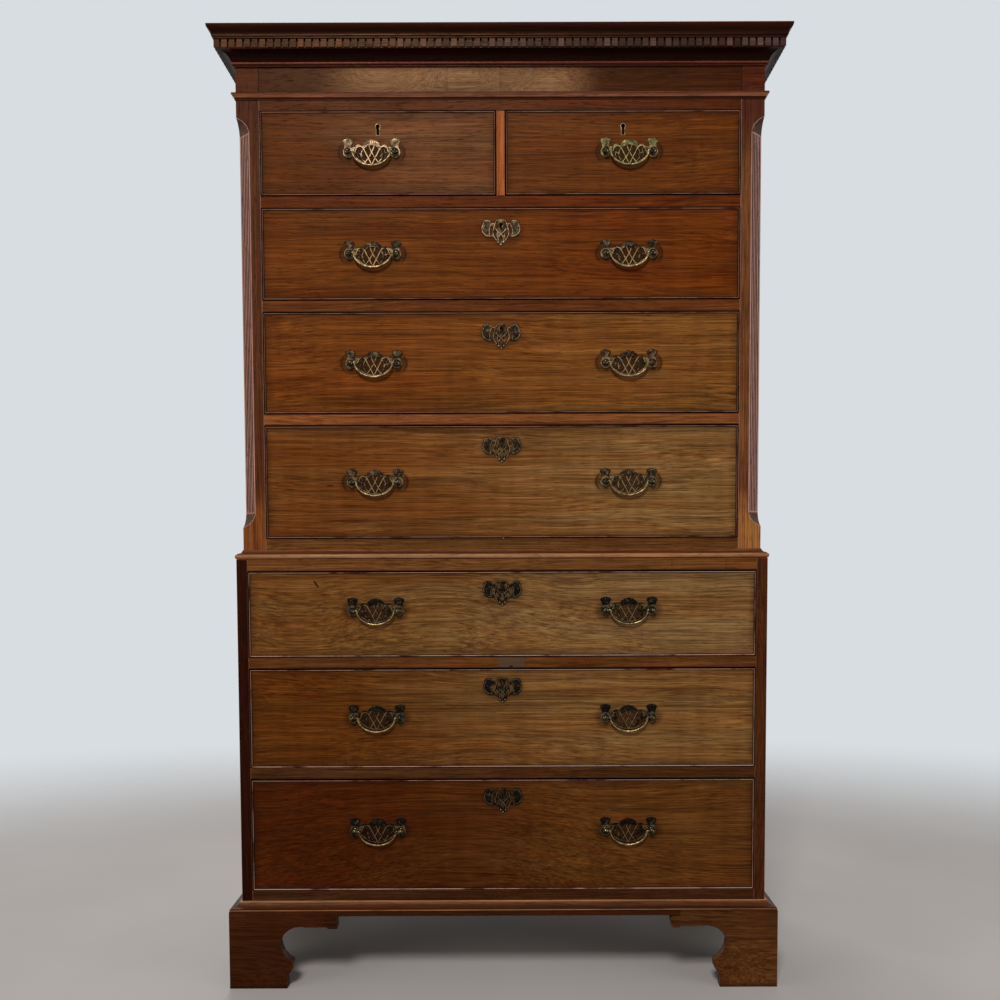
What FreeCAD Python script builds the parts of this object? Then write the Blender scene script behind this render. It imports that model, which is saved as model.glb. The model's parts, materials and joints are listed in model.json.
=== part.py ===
import FreeCAD, Part
import math
import os

# Georgian mahogany chest on chest (tallboy): an upper chest of two short and three long drawers
# with fluted, canted corners, frieze and dentil cornice, standing on a lower chest of three long
# drawers on ogee-cut bracket feet.
# Millimetres. +X to the right, +Z up, the drawer fronts face -Y. The origin is on the floor, under
# the middle of the whole object.

V = FreeCAD.Vector
os.makedirs("parts", exist_ok=True)

flatness = 0.45                 # round stretches are chords that leave the curve by no more

# ---- lower case -------------------------------------------------------------------------------
lower_width = 1027.0            # over the sides
lower_depth = 529.0             # face of the rails to the back of the backboards
lower_side_thickness = 21.0
lower_openings = (222.0, 196.0, 168.0)          # clear heights, bottom to top
lower_bottom_rail = 35.0
lower_top_rail = 23.0

# ---- upper case -------------------------------------------------------------------------------
waist_step = 11.5               # the upper case stands in by this at the front and at each side
upper_side_thickness = 20.0
upper_openings = (219.0, 195.0, 175.0)          # clear heights of the long drawers, bottom to top
short_opening = 160.0
partition_width = 16.0
upper_bottom_rail = 39.0
upper_top_rail = 19.0
post_width = 44.0
post_depth = 40.0
cant_width = 24.0               # seen from the front
cant_foot = 61.0                # square block left below the cant
cant_head = 32.0                # square block left above the cant, up to the astragal
cant_stop = 26.0                # height of each curved stop
flute_count = 5
flute_width = 3.8
flute_pitch = 5.7
flute_inset = 4.0               # from the end of the straight cant to the end of a flute

# ---- boards and joints inside -------------------------------------------------------------------
rail_height = 21.0
rail_depth = 60.0
tenon_length = 8.0
tenon_inset = 6.0               # tenon shoulder at the front of a rail
housing = 6.0                   # boards let into the sides
case_board = 18.0               # top and bottom boards
backboard = 10.0
backboard_rebate = 11.0
backboard_gap = 1.0
dustboard = 8.0
runner_overlap = 20.0           # a runner reaches under the drawer by this
tongue = 6.0                    # dustboard let into the rail
air_gap = 8.0                   # between runners and backboards
guide_height = 18.0
stop_length = 30.0
stop_depth = 14.0
stop_height = 5.0

# ---- frieze and cornice -------------------------------------------------------------------------
astragal_height = 13.0
frieze_height = 48.0
frieze_thickness = 21.0
cornice_height = 61.0
cornice_projection = 42.5
cornice_lip = 12.0              # cornice stands above the case top
dentil_tooth = 10.5
dentil_gap = 3.8
dentil_height = 14.5
dentil_bed = 27.0               # projection of the wall behind the dentils
dentil_bed_height = 22.3        # foot of that wall above the foot of the cornice
dentil_margin = 0.6             # above and below the teeth
dentil_proud = 4.2

# ---- waist, base and feet -----------------------------------------------------------------------
waist_height = 18.0
base_projection = 21.0
base_moulding_height = 15.0
base_band = 9.0                 # band between the feet
foot_height = 152.0
foot_thickness = 22.0
foot_wing = 210.0               # length of a bracket along the base
foot_toe = 112.0                # width of the foot on the floor
foot_spur = 123.4               # width at the spur
spur_height = 52.0
foot_waist = 98.6               # narrowest width, at the back of the ogee
ogee_rise = 29.5                # from there up to the underside of the wing
wing_height = 31.0              # wood between the ogee and the base
wing_lip = 3.0                  # the end of the wing hangs down by this
wing_round = 20.0               # rounded tip of the right-hand front wing
rear_bracket = 150.0            # plain sloped bracket across the back
rear_toe = 62.0
rear_tip = 40.0                 # height of its end
glue_block = 38.0
block_lift = 5.0                # upright block stops short of the floor by this
glue_strip = 20.0
strip_length = 118.0

# ---- drawers ------------------------------------------------------------------------------------
side_gap = 1.2
top_gap = 1.5
bottom_gap = 1.0
front_thickness = 20.0
bead = 3.2
bead_proud = 2.2
bead_depth = 6.5
lap = 8.0                       # wood left in front of the dovetails
lining = 9.0                    # drawer sides
lining_back = 8.0
lining_drop = 6.0               # drawer sides stand below the opening by this
back_drop = 8.0                 # drawer back stands below the sides by this
bottom_thickness = 6.0
bottom_rise = 8.0               # groove above the lower edge of the sides
bottom_groove = 4.0
back_clearance = 12.0           # from the drawer to the backboards
tail_spacing = 70.0
tail_slope = 1 / 6

# ---- brass --------------------------------------------------------------------------------------
handle_offset = 245.0           # handles stand in two lines, left and right of the middle
post_spacing = 90.0
plate_thickness = 1.6
bail_standoff = 9.0             # pin axis in front of the drawer face
bail_drop = 26.5
bail_inset = 9.4                # the bow hangs inside the posts by this
bail_end_radius = 1.45
bail_grip_radius = 2.3
pin_radius = 1.6
pin_clearance = 0.06
bore_end = 1.5                  # the hole for the pin runs this far past the middle of the post
pin_end_gap = 0.6
bail_steps = 3                  # straight lengths in each half of the bow
knob_foot = 4.6
knob_radius = 6.4
knob_tip = 3.6
knob_length = 12.4
nut_width = 10.0                # square nuts of the posts, inside the drawer
nut_thickness = 3.2
plate_keyhole = (2.8, 3.4, 9.5) # radius, width of the slot, drop of its foot below the middle
thread_keyhole = (3.1, 3.8, 15.3)
upper_keyhole = 31.0            # keyhole below the top of an upper drawer
lower_keyhole = 27.0
short_keyhole = 28.5
escutcheon_thickness = 1.3
thread_width = 2.0
thread_depth = 3.0
lock_width = 60.0
lock_height = 46.0
lock_thickness = 10.0
bolt_width = 14.0
bolt_thickness = 4.0
mortise_depth = 8.0
mortise_clearance = 1.0

# ---- places that follow -------------------------------------------------------------------------
back_y = (lower_depth + cornice_projection - waist_step) / 2
lower_face = back_y - lower_depth
upper_face = lower_face + waist_step
upper_width = lower_width - 2 * waist_step
lower_half = lower_width / 2
upper_half = upper_width / 2
lower_opening_half = lower_half - lower_side_thickness
upper_opening_half = upper_half - post_width
inner_back = back_y - backboard
base_half = lower_half + base_projection
base_face = lower_face - base_projection
lower_bottom = foot_height


def stack(start, openings):
    """Floor heights of openings that stand on each other with a rail between them."""
    floors = []
    for height in openings:
        floors.append(start)
        start += height + rail_height
    return floors


lower_floors = stack(lower_bottom + lower_bottom_rail, lower_openings)
lower_top = lower_floors[-1] + lower_openings[-1] + lower_top_rail
upper_floors = stack(lower_top + upper_bottom_rail, upper_openings + (short_opening,))
post_top = upper_floors[-1] + short_opening + upper_top_rail
frieze_bottom = post_top + astragal_height
cornice_bottom = frieze_bottom + frieze_height
cornice_top = cornice_bottom + cornice_height
upper_top = cornice_top - cornice_lip


# ---- shapes -------------------------------------------------------------------------------------
def box(x, y, z):
    """Board between two corners, each axis given as (low, high)."""
    return Part.makeBox(x[1] - x[0], y[1] - y[0], z[1] - z[0], V(x[0], y[0], z[0]))


def on_x(x):
    return lambda y, z: V(x, y, z)


def on_y(y):
    return lambda x, z: V(x, y, z)


def on_z(z):
    return lambda x, y: V(x, y, z)


def corners(start, steps):
    """Corners of an outline. A step is a point, or (point on an arc, its end); arcs become chords."""
    points = [start]
    for step in steps:
        if isinstance(step[0], tuple):
            through, step = step
            arc = Part.Arc(V(*points[-1]), V(*through), V(*step)).toShape()
            points += [(point.x, point.y) for point in arc.discretize(Deflection=flatness)[1:-1]]
        points.append(step)
    return points


def loop(place, points):
    """Closed wire through points of a plane."""
    return Part.makePolygon([place(*point) for point in points + points[:1]])


def polygon(place, along, points):
    """Polygon extruded along a vector."""
    return Part.Face(loop(place, points)).extrude(along)


def prism(place, along, start, steps):
    """Outline extruded along a vector."""
    return polygon(place, along, corners(start, steps))


def pierced(place, along, border, windows):
    """Flat plate: a border outline with window outlines cut out, each as (start, steps)."""
    wires = [loop(place, corners(*shape)) for shape in [border] + windows]
    return Part.makeFace(wires, "Part::FaceMakerBullseye").extrude(along)


def mirrored(shape):
    return shape.mirror(V(0, 0, 0), V(1, 0, 0))


def both(shape):
    return [shape, mirrored(shape)]


def flipped(start, steps):
    """The same outline with its first coordinate negated."""
    def flip(point):
        return (-point[0], point[1])
    turned = [tuple(map(flip, step)) if isinstance(step[0], tuple) else flip(step) for step in steps]
    return flip(start), turned


def cut(shape, tools):
    """Shape less each tool that it meets."""
    near = [tool for tool in tools if shape.BoundBox.intersect(tool.BoundBox)]
    return shape.cut(near) if near else shape


def save(name, solids):
    single = [solid for shape in solids for solid in shape.Solids]
    Part.makeCompound(single).exportStep("parts/" + name + ".step")


def ring(centre, side, up, radius):
    """Six corners of a section of a round form; side and up are unit vectors that span its plane."""
    points = []
    for number in range(6):
        angle = math.pi * (number + 0.5) / 3
        points.append(centre + side * (radius * math.cos(angle)) + up * (radius * math.sin(angle)))
    return points


def flat(points):
    return Part.Face(Part.makePolygon(points + points[:1]))


def skin(rings):
    """Solid through a row of sections, with flat sides."""
    faces = [flat(rings[0]), flat(rings[-1])]
    for near, far in zip(rings, rings[1:]):
        for number in range(6):
            after = (number + 1) % 6
            faces.append(flat([near[number], near[after], far[after]]))
            faces.append(flat([near[number], far[after], far[number]]))
    solid = Part.makeSolid(Part.makeShell(faces))
    if solid.Volume < 0:
        solid.reverse()
    return solid.removeSplitter()


# ---- mouldings ----------------------------------------------------------------------------------
def moulding(half_width, face, base, start, steps, reach):
    """Front and two returns of one profile, mitred. Profile points are (projection, height)."""
    def side_place(projection, height):
        return V(half_width + projection, face - reach, base + height)

    def front_place(projection, height):
        return V(-half_width - reach, face - projection, base + height)

    low, high = on_z(base - reach), V(0, 0, 1000)
    corner, outer = (half_width - reach, face + reach), (half_width + reach, face - reach)
    front_room = polygon(low, high, [(-outer[0], outer[1]), outer, corner, (-corner[0], corner[1])])
    side_room = polygon(low, high, [outer, (outer[0], back_y), (corner[0], back_y), corner])
    front = prism(front_place, V(2 * (half_width + reach), 0, 0), start, steps).common(front_room)
    side = prism(side_place, V(0, back_y - face + reach, 0), start, steps).common(side_room)
    return [front] + both(side)


def cornice():
    """Bead and cavetto, the wall behind the dentils, and a cyma under the square top edge."""
    bed = dentil_bed_height
    over = bed + dentil_height + 2 * dentil_margin
    crown = [
        (3.5, 0), (3.5, 3.0), ((7.5, 5.0), (5.0, 7.3)), (6.0, 8.0),
        ((12.5, 17.8), (dentil_bed - 1.5, bed)), (dentil_bed, bed), (dentil_bed, over),
        (dentil_bed + 6.0, over), (dentil_bed + 6.0, over + 2.5), (dentil_bed + 8.0, over + 4.0),
        ((35.6, over + 10.5), (38.8, over + 14.0)), ((41.4, over + 16.6), (cornice_projection, over + 20.0)),
        (cornice_projection, cornice_height), (0, cornice_height)]
    return moulding(upper_half, upper_face, cornice_bottom, (0, 0), crown, cornice_projection)


def teeth(start, length):
    """Where the dentils of one run begin: evenly spaced, the first and the last at the ends."""
    count = round((length - dentil_tooth) / (dentil_tooth + dentil_gap))
    pitch = (length - dentil_tooth) / count
    return [start + number * pitch for number in range(count + 1)]


def dentils():
    low = cornice_bottom + dentil_bed_height + dentil_margin
    height = (low, low + dentil_height)
    wall = upper_half + dentil_bed
    front_wall = upper_face - dentil_bed
    depth = (front_wall - dentil_proud, front_wall)
    corner = wall + dentil_proud
    front = [box((x, x + dentil_tooth), depth, height) for x in teeth(-corner, 2 * corner)]
    first = front_wall + dentil_gap
    side = [box((wall, corner), (y, y + dentil_tooth), height) for y in teeth(first, back_y - first)]
    return front + side + [mirrored(tooth) for tooth in side]


def astragal():
    top = astragal_height
    steps = [(1.5, 0), (1.5, 1.2), ((2.8, 5.4), (5.6, 7.6)), ((7.4, 10.2), (5.6, top)), (0, top)]
    return moulding(upper_half, upper_face, post_top, (0, 0), steps, 8.0)


def waist():
    """Seen as a soft slope that ends in a round nose over the edge of the lower case."""
    nose = waist_step + 1.5
    steps = [(nose - 3.0, 0), ((nose + 0.9, 5.0), (nose - 3.0, 10.0)), (nose - 4.0, 11.0),
             ((3.4, 13.2), (1.2, waist_height)), (0, waist_height)]
    return moulding(upper_half, upper_face, lower_top, (0, 0), steps, nose + 4)


def base_moulding():
    """Cavetto over a bead, applied round the lower edge of the case, and the band under it."""
    foot = base_projection
    top = base_moulding_height
    nose = foot - 2.4
    steps = [(nose, 0), ((nose + 1.8, 2.6), (nose, 5.2)), (nose - 1.6, 5.2), ((8.6, 7.8), (4.4, top - 1.8)),
             (4.4, top - 0.8), (3.0, top), (0, top)]
    pieces = moulding(lower_half, lower_face, lower_bottom, (0, 0), steps, foot + 4)
    band_z = (foot_height - base_band, foot_height)
    left_end = -base_half + foot_wing
    right_end = base_half - foot_wing + wing_round
    pieces.append(box((left_end, right_end), (base_face, base_face + foot_thickness), band_z))
    side_band = box((base_half - foot_thickness, base_half),
                    (base_face + foot_wing, back_y - foot_wing), band_z)
    return pieces + both(side_band)


# ---- bracket feet -------------------------------------------------------------------------------
def foot_outline(rounded):
    """Bracket seen square on: distance from the outer corner, height above the floor."""
    under = foot_height - wing_height
    lip = under - wing_lip
    waist_z = under - ogee_rise
    middle = (spur_height + waist_z) / 2
    steps = [
        (foot_toe, 0), (foot_toe - 0.5, 20.0), ((foot_spur - 6.5, 30.5), (foot_spur, spur_height - 12.0)),
        (foot_spur, spur_height), ((foot_waist + 7.5, middle - 2.75), (foot_waist, waist_z)),
        ((foot_waist + 13.5, under - 8.0), (foot_waist + 50.0, under)), (foot_wing - 22.0, under),
        (foot_wing - 17.0, lip)]
    if rounded:
        band = foot_height - base_band
        steps += [(foot_wing - 5.0, lip), (foot_wing - 1.0, band - 7.0),
                  ((foot_wing - wing_round / 2, band - 1.8), (foot_wing - wing_round, band)),
                  (foot_wing - wing_round, foot_height)]
    else:
        steps += [(foot_wing, lip), (foot_wing, foot_height)]
    return (0, 0), steps + [(0, foot_height)]


def corner_block(x, y, up):
    """Upright glue block in the corner of a foot and a flat one along each bracket."""
    strip_z = (foot_height - glue_strip, foot_height)
    far = glue_block + strip_length
    upright = box((x, x + glue_block), (y, y + up * glue_block)[::up], (block_lift, foot_height))
    along_x = box((x + glue_block, x + far), (y, y + up * glue_strip)[::up], strip_z)
    along_y = box((x, x + glue_strip), (y + up * glue_block, y + up * far)[::up], strip_z)
    return [upright, along_x, along_y]


def front_foot(rounded):
    """Left-hand front foot; the right-hand one is its mirror image."""
    start, steps = foot_outline(rounded)
    inner = -base_half + foot_thickness
    behind = base_face + foot_thickness
    front = prism(lambda u, z: V(u - base_half, base_face, z), V(0, foot_thickness, 0), start, steps)
    start, steps = foot_outline(False)
    side = prism(lambda u, z: V(-base_half, base_face + u, z), V(foot_thickness, 0, 0), start, steps)
    mitre = polygon(on_z(0), V(0, 0, foot_height),
                    [(-base_half, base_face), (inner, behind), (inner, 0), (-base_half, 0)])
    return [front.cut(mitre), side.common(mitre)] + corner_block(inner, behind, 1)


def rear_foot():
    start, steps = foot_outline(False)
    inner = -base_half + foot_thickness
    ahead = back_y - foot_thickness
    side = prism(lambda u, z: V(-base_half, back_y - u, z), V(foot_thickness, 0, 0), start, steps)
    back = polygon(on_y(ahead), V(0, foot_thickness, 0),
                   [(inner, 0), (inner + rear_toe, 0), (inner + rear_bracket, foot_height - rear_tip),
                    (inner + rear_bracket, foot_height), (inner, foot_height)])
    return [side, back] + corner_block(inner, ahead, -1)


# ---- case pieces --------------------------------------------------------------------------------
def rail(half, face, floor, height, depth):
    """Rail between the stiles, its ends set back at the front and let into them as tenons."""
    end = half + tenon_length
    back = face + min(depth, post_depth)
    shape = [(-half, face), (half, face), (half, face + tenon_inset), (end, face + tenon_inset),
             (end, back), (half, back), (half, face + depth), (-half, face + depth), (-half, back),
             (-end, back), (-end, face + tenon_inset), (-half, face + tenon_inset)]
    if depth <= post_depth:
        shape = [point for point in shape if abs(point[0]) == end or point[1] != back]
    return polygon(on_z(floor), V(0, 0, height), shape)


def between_boards(half, wall, face, floors, rails):
    """Dustboard between two runners, its front edge let into the rail, under each opening."""
    runner_end = inner_back - air_gap
    edge = half - runner_overlap
    boards, runners = [], []
    for floor in floors:
        middle = floor - rail_height / 2
        runners += both(box((edge, wall), (face + rail_depth, runner_end), (floor - rail_height, floor)))
        boards.append(box((-edge, edge), (face + rail_depth - tongue, runner_end),
                          (middle - dustboard / 2, middle + dustboard / 2)))
    return [cut(piece, boards) for piece in rails], boards, runners


def stops(face, floor, centres):
    """Blocks that the back of a drawer front meets when it is shut."""
    front = face + front_thickness
    return [box((x - stop_length / 2, x + stop_length / 2), (front, front + stop_depth),
                (floor, floor + stop_height)) for x in centres]


def bolt_mortise(face, ceiling, centre):
    half = bolt_width / 2 + mortise_clearance
    middle = face + front_thickness - lock_thickness / 2
    across = bolt_thickness / 2 + mortise_clearance
    return box((centre - half, centre + half), (middle - across, middle + across),
               (ceiling, ceiling + mortise_depth))


def corner_post():
    """Right-hand post: canted outer corner with curved stops, five flutes on the cant."""
    post = box((upper_opening_half, upper_half), (upper_face, upper_face + post_depth),
               (lower_top, upper_top))
    diagonal = math.sqrt(0.5)
    inward = V(-diagonal, diagonal, 0)
    along = V(diagonal, diagonal, 0)
    depth = cant_width * diagonal
    low = lower_top + cant_foot
    high = post_top - cant_head
    corner = V(upper_half, upper_face, 0) - along * (2 * cant_width)

    def place(inset, height):
        return corner + inward * inset + V(0, 0, height)

    bow = depth * 0.6
    rise = cant_stop * 0.35
    steps = [((bow, low + rise), (depth, low + cant_stop)), (depth, high - cant_stop),
             ((bow, high - rise), (0, high)), (-cant_width, high), (-cant_width, low)]
    post = post.cut(prism(place, along * (4 * cant_width), (0, low), steps))
    flute_low = low + cant_stop + flute_inset
    flute_high = high - cant_stop - flute_inset
    middle = V(upper_half, upper_face, 0) + inward * depth
    flutes = []
    for number in range(flute_count):
        shift = (number - (flute_count - 1) / 2) * flute_pitch
        foot = middle + along * shift + V(0, 0, flute_low)
        hollow = flat(ring(foot, along, inward, flute_width / 2))
        flutes.append(hollow.extrude(V(0, 0, flute_high - flute_low)))
    return post.cut(flutes)


def upper_case():
    """Saves the upper case and gives its backboards."""
    face, half, wall = upper_face, upper_opening_half, upper_half - upper_side_thickness
    rails = [rail(half, face, floor - rail_height, rail_height, rail_depth) for floor in upper_floors[1:]]
    top_rail_z = upper_floors[-1] + short_opening
    top_rail = rail(half, face, top_rail_z, upper_top_rail, rail_depth)
    bottom_rail = rail(half, face, lower_top, upper_bottom_rail, post_depth)
    short_centre = (half + partition_width / 2) / 2
    ceilings = [floor - rail_height for floor in upper_floors[1:]]
    mortises = [bolt_mortise(face, ceiling, 0) for ceiling in ceilings]
    mortises += [bolt_mortise(face, top_rail_z, x) for x in (-short_centre, short_centre)]
    rails = [cut(piece, mortises) for piece in rails + [top_rail]]
    rails, dust, runners = between_boards(half, wall, face, upper_floors[1:], rails)

    partition = box((-partition_width / 2, partition_width / 2), (face, face + rail_depth),
                    (upper_floors[-1], top_rail_z))
    save("upper_drawer_rails", rails + [bottom_rail, partition])

    back_end = inner_back - air_gap
    start = face + rail_depth
    guides = []
    for floor in upper_floors:
        guides += both(box((half, wall), (start, back_end), (floor, floor + guide_height)))
    centre_guide = box((-partition_width / 2, partition_width / 2), (start, back_end),
                       (upper_floors[-1], upper_floors[-1] + guide_height))
    kickers = both(box((half - runner_overlap, wall), (start, back_end),
                       (top_rail_z, top_rail_z + upper_top_rail)))
    kickers.append(box((-runner_overlap, runner_overlap), (start, back_end),
                       (top_rail_z, top_rail_z + upper_top_rail)))
    blocks = []
    for floor in upper_floors[:-1]:
        blocks += stops(face, floor, (-half / 2, half / 2))
    quarter = short_centre / 2
    blocks += stops(face, upper_floors[-1], (-short_centre - quarter, -short_centre + quarter,
                                             short_centre - quarter, short_centre + quarter))
    save("upper_dustboards_and_runners", dust + runners + guides + kickers + [centre_guide] + blocks)

    bottom_floor = upper_floors[0]
    bottom = box((-wall - housing, wall + housing), (face + post_depth, inner_back),
                 (bottom_floor - case_board, bottom_floor))
    top_z = (upper_top - case_board, upper_top)
    top = box((-wall - housing, wall + housing), (face + post_depth, inner_back), top_z)
    top = top.fuse(box((-half, half), (face + frieze_thickness, face + post_depth), top_z))
    save("upper_top_and_bottom_boards", [top.removeSplitter(), bottom])

    side = box((wall, upper_half), (face + post_depth, back_y), (lower_top, upper_top))
    rebate = box((wall, wall + backboard_rebate), (inner_back, back_y), (lower_top, upper_top))
    side = cut(side, [rebate, top, bottom])
    save("upper_side_right", [side])
    save("upper_side_left", [mirrored(side)])
    post = cut(corner_post(), rails + [bottom_rail])
    save("upper_corner_post_right", [post])
    save("upper_corner_post_left", [mirrored(post)])

    span = 2 * (wall + backboard_rebate)
    count = 4
    width = span / count
    boards = []
    for number in range(count):
        left = -span / 2 + number * width
        boards.append(box((left, left + width - backboard_gap), (inner_back, back_y),
                          (lower_top, upper_top)))
    frieze = box((-half, half), (face, face + frieze_thickness), (post_top, upper_top))
    save("frieze_and_astragal", [frieze] + astragal())
    return boards


def lower_case():
    """Saves the lower case and gives its backboards."""
    face, half = lower_face, lower_opening_half
    wall = half
    rails = [rail(half, face, floor - rail_height, rail_height, rail_depth) for floor in lower_floors[1:]]
    top_rail_z = lower_floors[-1] + lower_openings[-1]
    top_rail = rail(half, face, top_rail_z, lower_top_rail, rail_depth)
    bottom_rail = rail(half, face, lower_bottom, lower_bottom_rail, post_depth)
    ceilings = [floor - rail_height for floor in lower_floors[1:]] + [top_rail_z]
    mortises = [bolt_mortise(face, ceiling, 0) for ceiling in ceilings]
    rails = [cut(piece, mortises) for piece in rails + [top_rail]]
    rails, dust, runners = between_boards(half, wall, face, lower_floors[1:], rails)
    save("lower_drawer_rails", rails + [bottom_rail])

    start, back_end = face + rail_depth, inner_back - air_gap
    top_z = (lower_top - case_board, lower_top)
    kickers = both(box((half - runner_overlap, wall), (start, back_end), (top_rail_z, top_z[0])))
    blocks = []
    for floor in lower_floors:
        blocks += stops(face, floor, (-half / 2, half / 2))
    save("lower_dustboards_and_runners", dust + runners + kickers + blocks)

    bottom_floor = lower_floors[0]
    bottom = box((-wall - housing, wall + housing), (face + post_depth, inner_back),
                 (bottom_floor - case_board, bottom_floor))
    top = box((-wall - housing, wall + housing), (start, inner_back), top_z)
    save("lower_top_and_bottom_boards", [top, bottom])

    side = box((wall, lower_half), (face, back_y), (lower_bottom, lower_top))
    rebate = box((wall, wall + backboard_rebate), (inner_back, back_y), (lower_bottom, lower_top))
    side = cut(side, [rebate, top, bottom] + rails + [bottom_rail])
    save("lower_side_right", [side])
    save("lower_side_left", [mirrored(side)])

    count = 3
    height = (lower_top - lower_bottom) / count
    edge = wall + backboard_rebate
    boards = []
    for number in range(count):
        low = lower_bottom + number * height
        boards.append(box((-edge, edge), (inner_back, back_y), (low, low + height - backboard_gap)))
    return boards


# ---- drawer woodwork ----------------------------------------------------------------------------
def drawer_side(x, y, z):
    """Side board with a row of tails at the front end, extruded over x from a side view."""
    count = max(2, round((z[1] - z[0]) / tail_spacing))
    pitch = (z[1] - z[0]) / count
    length = front_thickness - lap
    points = [(y[0], z[0])]
    for number in range(count):
        middle = z[0] + (number + 0.5) * pitch
        root = pitch * 0.3
        tip = root + length * tail_slope
        points += [(y[0], middle - root), (y[0] - length, middle - tip),
                   (y[0] - length, middle + tip), (y[0], middle + root)]
    points += [(y[0], z[1]), (y[1], z[1]), (y[1], z[0])]
    return polygon(on_x(x), V(lining, 0, 0), points)


def cockbeads(centre, half, face, bottom, top):
    """Four round-nosed strips round the edge of a drawer front, mitred at the corners."""
    nose = bead / 2
    shoulder = face - bead_proud + nose
    deep = face + bead_depth
    profile = [(shoulder, 0), ((face - bead_proud, nose), (shoulder, bead)), (deep, bead)]

    def strip(place, along, room):
        return prism(place, along, (deep, 0), profile).common(room)

    def room(points):
        return polygon(on_y(face - bead), V(0, bead_depth + 2 * bead, 0), points)

    left, right = centre - half, centre + half
    inner = [(left + bead, bottom + bead), (right - bead, bottom + bead),
             (right - bead, top - bead), (left + bead, top - bead)]
    outer = [(left, bottom), (right, bottom), (right, top), (left, top)]
    width, height = V(2 * half, 0, 0), V(0, 0, top - bottom)
    return [
        strip(lambda y, z: V(left, y, bottom + z), width, room([outer[0], outer[1], inner[1], inner[0]])),
        strip(lambda y, x: V(right - x, y, bottom), height, room([outer[1], outer[2], inner[2], inner[1]])),
        strip(lambda y, z: V(left, y, top - z), width, room([outer[2], outer[3], inner[3], inner[2]])),
        strip(lambda y, x: V(left + x, y, bottom), height, room([outer[3], outer[0], inner[0], inner[3]]))]


def keyhole(size, x, z, grow):
    """Keyhole outline, widened all round by grow."""
    radius, slot, drop = size
    foot = drop + grow
    radius += grow
    half = slot / 2 + grow
    neck = half - 0.2
    shoulder = math.sqrt(radius ** 2 - neck ** 2)
    return (x - half, z - foot), [(x + half, z - foot), (x + neck, z - shoulder),
                                  ((x, z + radius), (x - neck, z - shoulder))]


# ---- handles and keyhole plates -----------------------------------------------------------------
def shifted(x, z, start, steps):
    def move(point):
        return (point[0] + x, point[1] + z)
    return move(start), [tuple(map(move, step)) if isinstance(step[0], tuple) else move(step)
                         for step in steps]


def mirrored_border(right_half):
    """Border that is the right-hand half and its mirror image, from the bottom to the top point."""
    start, steps = right_half
    ends = [start] + [step[1] if isinstance(step[0], tuple) else step for step in steps]
    left = []
    for number in range(len(steps) - 1, -1, -1):
        end = (-ends[number][0], ends[number][1])
        step = steps[number]
        if isinstance(step[0], tuple):
            left.append(((-step[0][0], step[0][1]), end))
        else:
            left.append(end)
    return start, steps + left


half_span = post_spacing / 2
bail_half_width = half_span - bail_inset
plate_border = mirrored_border(((0, -24.0), [
    (18.0, -20.5), (30.0, -11.5), (half_span - 7.5, -7.0), (half_span, -10.6),
    (half_span + 8.8, -5.2), (half_span + 6.0, 9.5), (half_span + 9.8, 21.0), (half_span, 26.0),
    (half_span - 10.6, 21.0), (half_span - 8.0, 9.5), (24.0, 14.6), (16.0, 12.0),
    (15.6, 17.5), (0, 24.0)]))

plate_windows = [
    ((0, 2.5), [(-4.4, -5.0), (0, -12.5), (4.4, -5.0)]),
    ((0, -15.5), [(-5.0, -20.5), (5.0, -20.5)])]
plate_half_windows = [
    ((13.0, 5.0), [(7.4, -4.5), (13.0, -14.0), (18.6, -4.5)]),
    ((22.4, 1.0), [(31.0, 6.4), (35.0, -2.4), (25.0, -8.4)])]

escutcheon_border = mirrored_border(((0, -40.5), [
    (9.0, -31.0), (20.5, -24.6), (33.5, -18.8), (38.0, -10.0), (35.4, 0.6), (26.5, 8.6),
    (13.0, 2.6), (7.0, 9.4)]))
escutcheon_windows = [((0, -18.5), [(-3.8, -23.5), (0, -31.5), (3.8, -23.5)])]
escutcheon_half_windows = [
    ((16.4, -2.6), [(20.2, -9.6), (17.4, -18.6), (14.0, -10.2)])]


def fretwork(x, z, face, thickness, border, windows, half_windows):
    """Pierced brass plate against a drawer face."""
    every = windows + half_windows + [flipped(*window) for window in half_windows]
    return pierced(on_y(face - thickness), V(0, thickness, 0), shifted(x, z, *border),
                   [shifted(x, z, *window) for window in every])


def handle_post(x, z, face, inner):
    """Knob on the plate, with a cross hole for the bail's pin that is open on the inner side."""
    front = face - plate_thickness
    sections = [(0, knob_foot), (0.55, knob_radius), (1, knob_tip)]
    rings = [ring(V(x, front - knob_length * part, z), V(1, 0, 0), V(0, 0, 1), radius)
             for part, radius in sections]
    hole = pin_radius + pin_clearance
    axis = face - bail_standoff
    reach = sorted((x - inner * bore_end, x + inner * 2 * knob_radius))
    bore = box(reach, (axis - hole, axis + hole), (z - hole, z + hole))
    return skin(rings).cut(bore)


def nut(x, z, inside):
    half = nut_width / 2
    return box((x - half, x + half), (inside, inside + nut_thickness), (z - half, z + half))


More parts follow.
